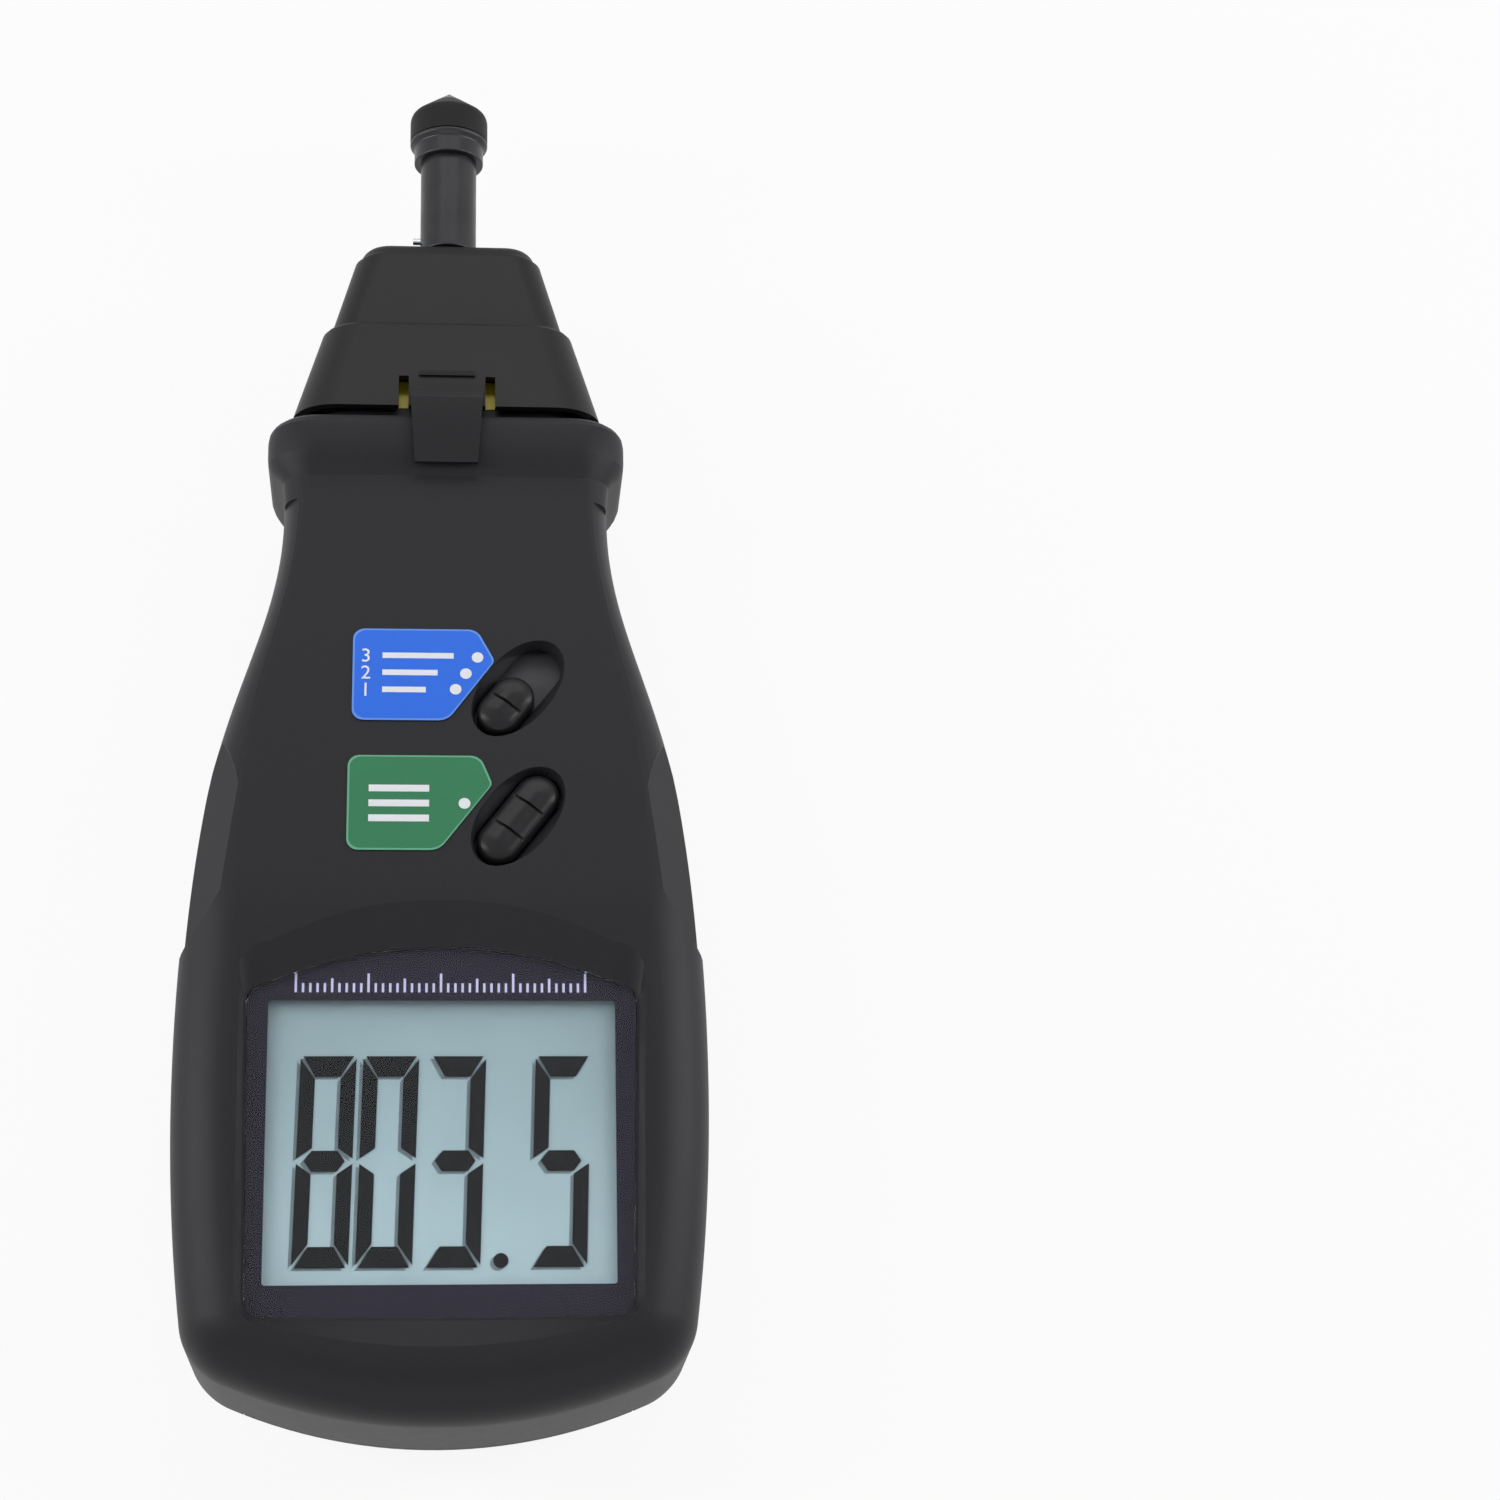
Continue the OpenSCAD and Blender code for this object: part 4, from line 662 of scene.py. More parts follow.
CASE = moulded("case_plastic", (31, 31, 34), 0.5, specular=0.2)
KEYS = moulded("key_plastic", (30, 30, 32), 0.36, scale=3200, depth=0.008, specular=0.2)
LEVER = moulded("lever_plastic", (64, 64, 68), 0.45, scale=3200, depth=0.008, specular=0.3)
HOOD = moulded("hood_plastic", (26, 26, 28), 0.45, depth=0.012, specular=0.2)
RUBBER = moulded("tip_rubber", (17, 17, 18), 0.55, scale=1800, depth=0.02, mottle=0.2, specular=0.2)
TUBE = turned_metal("blackened_tube", (34, 34, 37), 0.34, metallic=0.35)
STEEL = turned_metal("ground_steel", (190, 192, 196), 0.25)
POINT = turned_metal("point_steel", (62, 62, 66), 0.38, metallic=0.8)
BEARING = turned_metal("bearing_steel", (176, 178, 182), 0.2)
FOIL = turned_metal("disc_foil", (222, 224, 228), 0.12, pitch=900)
SCREW = turned_metal("screw_steel", (150, 152, 156), 0.35)
NICKEL = turned_metal("contact_nickel", (196, 196, 190), 0.28)
INNER = moulded("inner_plastic", (52, 52, 56), 0.5, depth=0.0)
BOARD = moulded("board_laminate", (38, 92, 56), 0.35, scale=900, mottle=0.1, coat=0.3)
PRINT_WHITE = printed("white_print", (240, 242, 246), 0.5, scale=1800)
BLUE = printed("blue_print", (16, 106, 232), 0.38, 0.04, depth=0.004)
BLUE_EDGE = printed("blue_edge_print", (96, 150, 240), 0.4)
GREEN = printed("green_print", (24, 116, 72), 0.38, 0.04, depth=0.004)
GREEN_EDGE = printed("green_edge_print", (98, 172, 136), 0.4)
YELLOW = printed("yellow_print", (228, 208, 34), 0.4, 0.04)
GOLD = printed("gold_sticker", (233, 223, 124), 0.34, 0.05, depth=0.003)
OLIVE_PRINT = printed("olive_print", (92, 86, 30), 0.45, 0.05)
PAPER = printed("white_sticker", (234, 234, 231), 0.42, scale=1600, depth=0.003)
BORDER = printed("border_print", (25, 22, 34), 0.3, 0.05, specular=0.1)
LAVENDER = printed("lavender_print", (158, 156, 186), 0.45, 0.04, scale=1800)
INK = printed("display_ink", (10, 12, 14), 0.4, specular=0.1)
EPOXY_RED = moulded("red_epoxy", (190, 40, 34), 0.12, depth=0.0, coat=0.6)
EPOXY_DARK = moulded("dark_epoxy", (44, 48, 56), 0.12, depth=0.0, coat=0.6)
WINDOW = moulded("window_plastic", (70, 16, 22), 0.1, depth=0.0, coat=0.8)
RIBBON = moulded("ribbon_film", (200, 195, 180), 0.35, scale=900)
STRIP = moulded("contact_rubber", (196, 140, 150), 0.6, scale=1200)


def display_glass():
    """Grey-green liquid crystal background with a painted highlight that makes it a little lighter towards the foot.
    """
    made, tree, shader = material("display_glass", specular=0.3)
    # the ramp along the meter is a painted highlight: the background gets lighter towards the foot
    ramp = place_ramp(tree, "Y", -18.0, -0.85, (112, 131, 135), (146, 166, 170), 0.3)
    fine = noise(tree, own_place(tree), 3500.0, 2.0)
    fill(tree, shader, {"Base Color": ramp.outputs[0], "Roughness": 0.4, "Normal": bump(tree, fine, 0.2, 0.01)})
    return made


def clear_plastic():
    """Hard clear lens with faint wipe marks."""
    made, tree, shader = material("clear_lens", transmission=1.0, specular=0.2)
    wipe = math_node(tree, "SUBTRACT", noise(tree, own_place(tree), 70.0, 5.0, 0.65), 0.35, clamp=True)
    shadow_ray = tree.nodes.new("ShaderNodeLightPath").outputs["Is Shadow Ray"]
    fill(tree, shader, {"IOR": 1.2, "Base Color": (0.97, 0.98, 1.0, 1), "Roughness": times(tree, wipe, 0.1),
                        "Alpha": math_node(tree, "SUBTRACT", 1.0, times(tree, shadow_ray, 0.92))})
    return made


def soft_shadow():
    """Faint cloudy shade that the digits cast on the background."""
    made, tree, shader = material("digit_shadow", alpha=0.22)
    cloud = noise(tree, own_place(tree), 300.0, 2.0)
    fill(tree, shader, {"Base Color": tint(40, 52, 58), "Roughness": 0.6,
                        "Alpha": math_node(tree, "ADD", 0.16, times(tree, cloud, 0.12))})
    return made


def cell_wrap():
    """Printed sleeve of a cell: a band of copper colour and a dark band, along X."""
    made, tree, shader = material("cell_wrap", coat=0.4)
    ramp = place_ramp(tree, "X", 20.0, 0.5, (36, 36, 40), (184, 120, 52))
    ramp.color_ramp.interpolation = "CONSTANT"
    ramp.color_ramp.elements[1].position = 0.62
    wear = times(tree, noise(tree, own_place(tree), 120.0), 0.15)
    fill(tree, shader, {"Base Color": ramp.outputs[0], "Roughness": math_node(tree, "ADD", 0.25, wear)})
    return made


GLASS = display_glass()
LENS = clear_plastic()
SHADOW = soft_shadow()
WRAP = cell_wrap()

# Camera, lights and floor
TILT, LEAN, DISTANCE, FOCAL_PX, SHEET = math.radians(19), math.radians(-0.42), 490.0, 3450.6, 1500.0
AIM = Vector((0.0, 95.5, 18.0))
MIDDLE = (443.0, 760.0)


def make_camera():
    """Camera where the photograph was taken, turned so that the aimed point lies left of the middle."""
    view = Vector((0, math.sin(TILT), -math.cos(TILT)))
    right = Vector((1, 0, 0))
    up = right.cross(view)
    place = AIM - view * DISTANCE
    roll = Matrix.Rotation(LEAN, 3, view)
    right, up = roll @ right, roll @ up
    pan = math.atan((SHEET / 2 - MIDDLE[0]) / FOCAL_PX)
    nod = math.atan((SHEET / 2 - MIDDLE[1]) / FOCAL_PX)
    turn = Matrix.Rotation(-pan, 3, up) @ Matrix.Rotation(-nod, 3, right)
    right, up, view = turn @ right, turn @ up, turn @ view
    data = bpy.data.cameras.new("camera")
    data.sensor_width = 36
    data.lens = 36 * FOCAL_PX / SHEET * math.cos(pan)
    data.clip_start, data.clip_end = 0.01, 20
    camera = link(data, "camera")
    camera.matrix_world = Matrix.Translation(spot(*place)) @ Matrix((right, up, -view)).transposed().to_4x4()
    bpy.context.scene.camera = camera


make_camera()


def lamp(name, place, width, height, power):
    """Soft box that looks at the meter's middle."""
    data = bpy.data.lights.new(name, "AREA")
    data.shape, data.size, data.size_y, data.energy = "RECTANGLE", width, height, power
    light = link(data, name)
    light.location = place
    light.rotation_euler = (-Vector(place)).to_track_quat("-Z", "Y").to_euler()


lamp("left_softbox", (-0.62, 0.05, 0.34), 0.13, 0.75, 2.9)
lamp("right_softbox", (0.62, 0.1, 0.3), 0.13, 0.75, 2.9)
lamp("top_softbox", (0.0, 0.62, 0.6), 0.84, 0.21, 1.9)
lamp("foot_softbox", (0.0, -0.75, 0.3), 0.7, 0.3, 0.7)

world = bpy.data.worlds.new("studio")
bpy.context.scene.world = world
world.use_nodes = True
sky = world.node_tree
shade_or_white = sky.nodes.new("ShaderNodeMix")
shade_or_white.data_type = "RGBA"
fill(sky, shade_or_white, {"Factor": background_rays(sky), "A": (0.16, 0.165, 0.175, 1), "B": (1, 1, 1, 1)})
fill(sky, sky.nodes["Background"], {"Strength": 1.0, "Color": shade_or_white.outputs["Result"]})


def make_floor():
    """White sheet under the meter: it shows as white and keeps the meter's shadow."""
    mesh = bpy.data.meshes.new("floor")
    reach, low = 3.0, -0.0002
    corners = [(x * reach, y * reach, low) for x, y in ((-1, -1), (1, -1), (1, 1), (-1, 1))]
    mesh.from_pydata(corners, [], [(0, 1, 2, 3)])
    floor = link(mesh, "floor")
    made, tree, shader = material("floor_paper", specular=0.0)
    fill(tree, shader, {"Base Color": (0.86, 0.86, 0.86, 1), "Roughness": 0.9})
    seen_white = times(tree, background_rays(tree), 0.91)
    glow = add(tree, "ShaderNodeEmission", {})
    sheet = add(tree, "ShaderNodeMixShader", {0: seen_white, 1: shader.outputs[0], 2: glow})
    fill(tree, tree.nodes["Material Output"], {"Surface": sheet})
    mesh.materials.append(made)


make_floor()
bpy.context.scene.view_settings.view_transform = "Standard"

# Case
front = half_case("front_case", 1, FRONT_EDGE, FRONT_EDGE_H)
join(front, half_band("front_band", 1))
cut(front,
    loft("display_tool", [
        lifted(recess_outline(1.25), BODY_T + 0.4), lifted(recess_outline(0), LENS_TOP_Z),
        lifted(lens_outline(0.05), LENS_TOP_Z - 0.01), lifted(lens_outline(0.05), 20)]),
    control_cut("mode_tool", MODE_S), control_cut("memory_tool", MEMORY_S),
    finger_grip("grip_left", -1), finger_grip("grip_right", 1),
    block("neck_tool", (-THROAT_HALF, THROAT_FOOT_S, SEAM_Z - 1), (THROAT_HALF, THROAT_HEAD_S, THROAT_FRONT_Z)))
dress(front, CASE, "housing", "shell_plastic", "front_shell", bevel=0.3, sharp=12)


def cover_outline(grow, steps=32):
    points = [(-COVER_HALF - grow, -2), (COVER_HALF + grow, -2), (COVER_HALF + grow, COVER_L - 1.5)]
    points.append((COVER_HALF - 1.5, COVER_L + grow))
    for i in range(steps + 1):
        u = 1 - 2 * i / steps
        points.append((u * CREST_HALF, COVER_L + grow + CREST_H * (1 + math.cos(math.pi * u)) / 2))
    return points + [(-COVER_HALF + 1.5, COVER_L + grow), (-COVER_HALF - grow, COVER_L - 1.5)]


rear = half_case("rear_case", -1, REAR_EDGE, REAR_EDGE_H)
join(rear, half_band("rear_band", -1))
cut(rear,
    prism("cover_tool", cover_outline(0), -1, WALL + 0.2),
    block("end_tool", (-COVER_HALF, -2, -1), (COVER_HALF, END_CUT_S, END_CUT_Z)),
    block("bay_tool", (-BAY_HALF, BAY_FOOT_S, -1), (BAY_HALF, BAY_HEAD_S, 5)),
    block("nose_tool", (-THROAT_HALF, THROAT_FOOT_S, THROAT_BACK_Z), (THROAT_HALF, THROAT_HEAD_S, SEAM_Z + 1)))


def on_back(s):
    return Matrix.Translation((0, s, back_z(s))) @ Matrix.Rotation(math.atan(NECK_RISE / (NECK_S - SLOPE_S)), 4, "X")


PANEL_S, PANEL_HALF_W, PANEL_HALF_L, PANEL_R, PANEL_DEPTH = 97.8, 16.6, 8.4, 1.4, 0.4
panel = rounded_outline(PANEL_HALF_W, PANEL_HALF_L, PANEL_R)
cut(rear, move(prism("label_tool", panel, -1, PANEL_DEPTH), on_back(PANEL_S)))
SIDE_TURN, SIDE_S, SIDE_Z, SIDE_KEY_HALF_L, SIDE_KEY_HALF_T = math.radians(16.3407), 101, 8, 4, 2.2
side_at = [p for p in HALF if p.y > BELLY_S - 1]
low_p = max((p for p in side_at if p.y <= SIDE_S), key=lambda p: p.y)
high_p = min((p for p in side_at if p.y > SIDE_S), key=lambda p: p.y)
SIDE_X = low_p.x + (high_p.x - low_p.x) * (SIDE_S - low_p.y) / (high_p.y - low_p.y)


def on_side():
    return Matrix.Translation((SIDE_X, SIDE_S, SIDE_Z)) @ Matrix.Rotation(SIDE_TURN, 4, "Z")


cut(rear, move(block("key_tool", (-8, -SIDE_KEY_HALF_L - 0.2, -SIDE_KEY_HALF_T - 0.2),
                     (3, SIDE_KEY_HALF_L + 0.2, SIDE_KEY_HALF_T + 0.2)), on_side()))
bay = block("bay_box", (-BAY_HALF - BAY_WALL, BAY_FOOT_S - BAY_WALL, 1.0),
            (BAY_HALF + BAY_WALL, BAY_HEAD_S + BAY_WALL, BAY_TOP_Z))
cut(bay, block("bay_room", (-BAY_HALF, BAY_FOOT_S, 0), (BAY_HALF, BAY_HEAD_S, BAY_ROOF_Z)))
ledge = block("end_ledge", (-LEDGE_HALF, LEDGE_S, LEDGE_LOW_Z), (LEDGE_HALF, BAY_FOOT_S + 0.05, LEDGE_TOP_Z))
join(rear, bay, ledge)
dress(rear, CASE, "housing", "shell_plastic", "rear_shell", bevel=0.25)

# Battery cover
cover = half_case("battery_lid", -1, REAR_EDGE, REAR_EDGE_H)
keep = prism("lid_keep", cover_outline(-COVER_GAP), -1, WALL)
join(keep, block("lid_end", (-COVER_HALF + COVER_GAP, -2, -1),
                 (COVER_HALF - COVER_GAP, END_CUT_S + 0.1, END_CUT_Z - COVER_GAP)))
combine(cover, keep, "INTERSECT")


def ellipse(half_w, half_h, n=64):
    return [(half_w * math.cos(2 * math.pi * i / n), half_h * math.sin(2 * math.pi * i / n)) for i in range(n)]


cut(cover, loft("oval_tool", [
    [(x, s + OVAL_S, z) for x, s in ellipse(half_w, half_h)]
    for half_w, half_h, z in ((11.5, 5.5, -1), (11.3, 5.3, 0.05), (10.9, 4.9, 0.5))]))


def cover_ribs():
    """Five rounded ribs of the thumb oval, set out by a node tree."""
    tree = bpy.data.node_groups.new("thumb_ribs", "GeometryNodeTree")
    for label, length in (("Pitch", RIB_PITCH), ("Half length", RIB_HALF), ("Rib radius", RIB_R)):
        tree.interface.new_socket(label, in_out="INPUT", socket_type="NodeSocketFloat").default_value = length * MM
    tree.interface.new_socket("Count", in_out="INPUT", socket_type="NodeSocketInt").default_value = RIB_COUNT
    tree.interface.new_socket("Geometry", in_out="OUTPUT", socket_type="NodeSocketGeometry")
    given, put = tree.nodes.new("NodeGroupInput").outputs, tree.nodes.new("NodeGroupOutput")

    middle = (RIB_COUNT - 1) / 2
    step = add(tree, "ShaderNodeCombineXYZ", {"Y": given["Pitch"]})
    half_row = add(tree, "ShaderNodeVectorMath", {0: step, "Scale": -middle}, operation="SCALE")
    start = add(tree, "ShaderNodeVectorMath", {0: half_row, 1: spot(0, OVAL_S, RIB_R)}, operation="ADD")
    row = add(tree, "GeometryNodeMeshLine", {"Count": given["Count"], "Offset": step, "Start Location": start},
              mode="OFFSET")
    length = times(tree, given["Half length"], 2.0)
    rib = add(tree, "GeometryNodeMeshCylinder", {"Vertices": 16, "Radius": given["Rib radius"], "Depth": length})
    from_middle = math_node(tree, "SUBTRACT", add(tree, "GeometryNodeInputIndex", {}), middle)
    shorter = times(tree, times(tree, from_middle, from_middle), -0.1)
    size = add(tree, "ShaderNodeCombineXYZ", {"X": 1.0, "Y": 1.0, "Z": math_node(tree, "ADD", shorter, 1.0)})
    laid = add(tree, "GeometryNodeInstanceOnPoints", {
        "Points": row, "Instance": rib, "Rotation": (0, math.pi / 2, 0), "Scale": size})
    real = add(tree, "GeometryNodeRealizeInstances", {0: laid})
    fill(tree, put, {0: add(tree, "GeometryNodeSetMaterial", {0: real, "Material": CASE})})
    ribs = link(bpy.data.meshes.new("lid_ribs"), "lid_ribs")
    ribs.modifiers.new("ribs", "NODES").node_group = tree
    return bake(ribs)


ribs = cover_ribs()
dress(cover, CASE, "cover", "shell_plastic", "battery_cover", bevel=0.2)
dress(ribs, CASE, "cover", "shell_plastic")

# Display
lens = prism("lens_pane", lens_outline(0), LENS_Z, LENS_TOP_Z)
dress(lens, LENS, "housing", "clear_lens", "display_lens", bevel=0.15)
border = prism("lens_print", lens_outline(-0.1), BORDER_Z, LENS_Z - 0.01)
window = [(x, s + VIEW_S + VIEW_L / 2) for x, s in rounded_outline(VIEW_W / 2, VIEW_L / 2, 0.4)]
cut(border, prism("view_tool", window, BORDER_Z - 1, LENS_Z + 1))
dress(border, BORDER, "housing", "border_print", "lens_border")

DIGIT_H, DIGIT_W, SEGMENT_W, SEGMENT_H, GAP = 28.4, 7.4, 2.0, 2.8, 0.35
DIGIT_S, DIGIT_X, DIGIT_AT, DIGIT_LEAN = 20.2, -19.4, (0.0, 8.3, 17.2, 31.2), 0.7
DOT_X, DOT_S = 7.9, 21.1
DIGITS = ("1111111", "1111110", "1111001", "1011011")


def digit_outlines():
    h, w, t, b, g = DIGIT_H, DIGIT_W, SEGMENT_W, SEGMENT_H, GAP
    mid = h / 2

    def bar(y, up):
        return [(g, y), (w - g, y), (w - t, y + up * b), (t, y + up * b)]

    def upright(x, way):
        return [(x, g), (x + way * t, g + b), (x + way * t, mid - b / 2 - g), (x, mid - g)]

    flip = [[(x, h - y) for x, y in upright(w, -1)], [(x, h - y) for x, y in upright(0, 1)]]
    middle = [(t / 2, mid), (t, mid - b / 2), (w - t, mid - b / 2), (w - t / 2, mid), (w - t, mid + b / 2),
              (t, mid + b / 2)]
    parts = [bar(h, -1), flip[0], upright(w, -1), bar(0, 1), upright(0, 1), flip[1], middle]
    shapes = []
    for d, on in enumerate(DIGITS):
        for k, lit in enumerate(on):
            if lit == "1":
                shapes.append([(DIGIT_X + DIGIT_AT[d] + x + DIGIT_LEAN * y / h, DIGIT_S + y) for x, y in parts[k]])
    shapes.append([(DOT_X + x, DOT_S + y) for x, y in ellipse(1.0, 1.0, 24)])
    return shapes


def plates(name, shapes, low, high, move_x=0.0, move_s=0.0):
    """Many thin plates as one piece."""
    points, faces = [], []
    for shape in shapes:
        n, first = len(shape), len(points)
        for z in (low, high):
            points += [(x + move_x, s + move_s, z) for x, s in shape]
        faces.append(tuple(first + i for i in reversed(range(n))))
        faces.append(tuple(first + n + i for i in range(n)))
        faces += [(first + i, first + (i + 1) % n, first + n + (i + 1) % n, first + n + i) for i in range(n)]
    return from_points(name, points, faces)


digits = plates("display_digits", digit_outlines(), SEGMENT_TOP_Z - 0.02, SEGMENT_TOP_Z + 0.04)
dress(digits, INK, "housing", "display_ink", "lcd_segments")
shade = plates("digit_shade", digit_outlines(), SEGMENT_TOP_Z - 0.1, SEGMENT_TOP_Z - 0.06, -0.45, -0.35)
dress(shade, SHADOW, "housing", "display_ink")


def title_scale():
    """Plain graduated scale above the display window."""
    first_x, width, s, steps, half = -19.5, 38.6, 57.0, 40, 0.16
    shapes = []
    for i in range(steps + 1):
        x = first_x + width * i / steps
        tall = 2.6 if i % 10 == 0 else 1.9 if i % 5 == 0 else 1.25
        shapes.append([(x - half, s), (x + half, s), (x + half, s + tall), (x - half, s + tall)])
    return shapes


scale = plates("title_scale", title_scale(), BORDER_Z + 0.2, LENS_Z - 0.004)
dress(scale, LAVENDER, "housing", "border_print")

# Labels
LABEL_T, LABEL_RIM = 0.12, 0.28
LABEL_RADII = (1.6, 2.0, 1.0, 2.6, 1.6)
MODE_BASE, MEMORY_BASE = 95.5, 76.25
MODE_LABEL = ((-12.7, 109.4), (4.4, 109.4), (6.9, 104.6), (0.4, MODE_BASE), (-12.7, MODE_BASE))
MEMORY_LABEL = ((-13.1, 90.2), (4.9, 90.2), (6.6, 86.0), (-0.6, MEMORY_BASE), (-13.1, MEMORY_BASE))


def rounded_polygon(points, radii, steps=8):
    """Outline of a polygon with a radius of its own at each corner."""
    out, n = [], len(points)
    for i in range(n):
        a, b, c = (Vector(points[(i + k) % n]) for k in (-1, 0, 1))
        u, v = (a - b).normalized(), (c - b).normalized()
        half = u.angle(v) / 2
        r = radii[i]
        centre = b + (u + v).normalized() * r / math.sin(half)
        start, end = b + u * r / math.tan(half) - centre, b + v * r / math.tan(half) - centre
        first = math.degrees(math.atan2(start.y, start.x))
        turn = (math.degrees(math.atan2(end.y, end.x)) - first + 540) % 360 - 180
        out += arc(centre.x, centre.y, r, first, first + turn, steps)
    return out


def along_face(outline, base_s):
    """Places seen from above, as places along the sloping front."""
    return [(x, (s - base_s) / math.cos(FACE_TILT)) for x, s in outline]


def face_label(name, corners, base_s, low, high, inset=0.0):
    outline = rounded_polygon(corners, LABEL_RADII)
    if inset:
        mid_x = sum(p[0] for p in outline) / len(outline)
        mid_s = sum(p[1] for p in outline) / len(outline)
        half_x = max(abs(p[0] - mid_x) for p in outline)
        half_s = max(abs(p[1] - mid_s) for p in outline)
        outline = [(mid_x + (x - mid_x) * (1 - inset / half_x), mid_s + (s - mid_s) * (1 - inset / half_s))
                   for x, s in outline]
    return move(prism(name, along_face(outline, base_s), low, high), on_face(0, base_s))


for control, corners, base, rim, middle, finish in (
        ("mode", MODE_LABEL, MODE_BASE, BLUE_EDGE, BLUE, "blue_print"),
        ("memory", MEMORY_LABEL, MEMORY_BASE, GREEN_EDGE, GREEN, "green_print")):
    whole = face_label(control + "_print_edge", corners, base, 0.005, LABEL_T - 0.02)
    dress(whole, rim, "housing", finish, control + "_label")
    dress(face_label(control + "_print", corners, base, 0.01, LABEL_T, LABEL_RIM), middle, "housing", finish)


def face_shapes(name, shapes, base_s):
    flat = [along_face(shape, base_s) for shape in shapes]
    return move(plates(name, flat, LABEL_T - 0.02, LABEL_T + 0.03), on_face(0, base_s))


def dot(x, s, r=0.8):
    return [(x + a, s + b) for a, b in ellipse(r, r, 24)]


def dash(x0, x1, s, half):
    return [(x0, s - half), (x1, s - half), (x1, s + half), (x0, s + half)]


def glyph(text, x, s, size, name):
    """Plain numeral as a thin plate on the front."""
    curve = bpy.data.curves.new(name, "FONT")
    curve.body, curve.size, curve.extrude = text, size, LABEL_T / 2
    thing = link(curve, name)
    graph = bpy.context.evaluated_depsgraph_get()
    mesh = bpy.data.meshes.new_from_object(thing.evaluated_get(graph))
    bpy.data.objects.remove(thing)
    mesh.transform(Matrix.Translation(spot(0, 0, 0)) @ Matrix.Scale(MM, 4))
    piece = link(mesh, name)
    return move(piece, on_face(0, s) @ Matrix.Translation((x, 0, 0.1)))


mode_marks = [dot(x, s) for x, s in ((4.5, 105.1), (2.9, 102.6), (1.5, 100.2))]
mode_marks += [dash(-8.6, x, s, 0.42) for x, s in ((1.2, 105.3), (-1.0, 102.7), (-2.6, 100.1))]
dress(face_shapes("mode_marks", mode_marks, MODE_BASE), PRINT_WHITE, "housing", "blue_print")
for number, where in (("3", 104.3), ("2", 101.7), ("1", 99.1)):
    dress(glyph(number, -11.6, where, 2.9, "mode_number_" + number), PRINT_WHITE, "housing", "blue_print")
memory_marks = [dot(2.8, 83.1)] + [dash(-10.2, -2.0, s, 0.5) for s in (85.3, 83.1, 80.9)]
dress(face_shapes("memory_marks", memory_marks, MEMORY_BASE), PRINT_WHITE, "housing", "green_print")

OVAL_MARK_S, PLATE_S = 101.8, 93.4
STICKER_Z, STICKER_BACK_Z, PRINT_Z, PRINT_BACK_Z = 0.28, 0.398, 0.262, 0.29


def back_sticker(name, s, sheet, line, line_inside, colour, slot, node, print_z):
    """Sheet on the back with a thin printed line round it."""
    whole = move(prism(name, sheet, STICKER_Z, STICKER_BACK_Z), on_back(s))
    dress(whole, colour, "housing", slot, node)
    ring = cut(prism(name + "_line", line, print_z, PRINT_BACK_Z), prism(name + "_line_tool", line_inside, 0, 1))
    dress(move(ring, on_back(s)), OLIVE_PRINT, "housing", slot)


back_sticker("gold_oval", OVAL_MARK_S, ellipse(6, 4.3), ellipse(5.5, 3.85), ellipse(5.25, 3.6),
             GOLD, "gold_sticker", "oval_sticker", PRINT_Z)
tick = [[(-2.2, 0.2), (-1.5, 0.75), (-0.6, -0.5), (-0.75, -1.55)],
        [(-0.75, -1.55), (-0.6, -0.5), (2.3, 1.9), (2.0, 2.2)]]
tick_mark = move(plates("gold_oval_tick", tick, PRINT_Z, PRINT_BACK_Z), on_back(OVAL_MARK_S))
dress(tick_mark, OLIVE_PRINT, "housing", "gold_sticker")
back_sticker("white_plate", PLATE_S, rounded_outline(11.5, 3.9, 0.3), rounded_outline(10.9, 3.3, 0.2),
             rounded_outline(10.7, 3.1, 0.15), PAPER, "white_sticker", "plain_sticker", PRINT_Z + 0.002)

# Keys


def capsule(name, length, width, low, top, grooves=()):
    """Domed key in its own slanted place, with cross grooves."""
    rings, rise, draw, steps = [stadium(length, width, low)], 1.5, 3.8, 8
    for k in range(steps + 1):
        a = math.pi / 2 * k / steps
        less = draw * (1 - math.cos(a))
        rings.append(stadium(length - less, width - less, top - 0.25 - rise * (1 - math.sin(a))))
    for less, drop in ((4.9, 0.06), (5.8, 0)):
        rings.append(stadium(length - less, width - less, top - drop))
    key = loft(name, rings)
    for i, y in enumerate(grooves):
        cut(key, block(f"{name}_groove_{i}", (-width, y - 0.2, top - 0.75), (width, y + 0.2, top + 1)))
    return key


knob = capsule("mode_cap", KNOB_L, KNOB_W, KNOB_LOW, 0.5, (0,))
dress(move(knob, on_face(CONTROL_X, MODE_S, CONTROL_TURN) @ Matrix.Translation((0, MODE_REST, 0))),
      KEYS, "mode_slider", "key_plastic", "mode_knob", bevel=0.06)
key = capsule("memory_cap", SLOT_L - 0.6, KNOB_W, KNOB_LOW - 0.05, 0.1, (-2.3, 2.3))
join(key, loft("memory_flange", [stadium(SLOT_L + 2, SLOT_W + 2, -4.5), stadium(SLOT_L + 2, SLOT_W + 2, -3.3)]))
dress(move(key, on_face(CONTROL_X, MEMORY_S, CONTROL_TURN)), KEYS, "memory_key", "key_plastic", "memory_button",
      bevel=0.06)

side_key = block("side_key", (-3.45, -SIDE_KEY_HALF_L, -SIDE_KEY_HALF_T), (0.6, SIDE_KEY_HALF_L, SIDE_KEY_HALF_T))
cut(side_key, block("side_key_split", (-0.1, 1.9, -3), (1, 2.2, 3)))
join(side_key, block("side_key_wing", (-4.35, -SIDE_KEY_HALF_L - 1, -SIDE_KEY_HALF_T),
                     (-3.4, SIDE_KEY_HALF_L + 1, SIDE_KEY_HALF_T)))
dress(move(side_key, on_side()), KEYS, "measure_key", "key_plastic", "measure_button", bevel=0.35, segments=3)

# Adapter hood


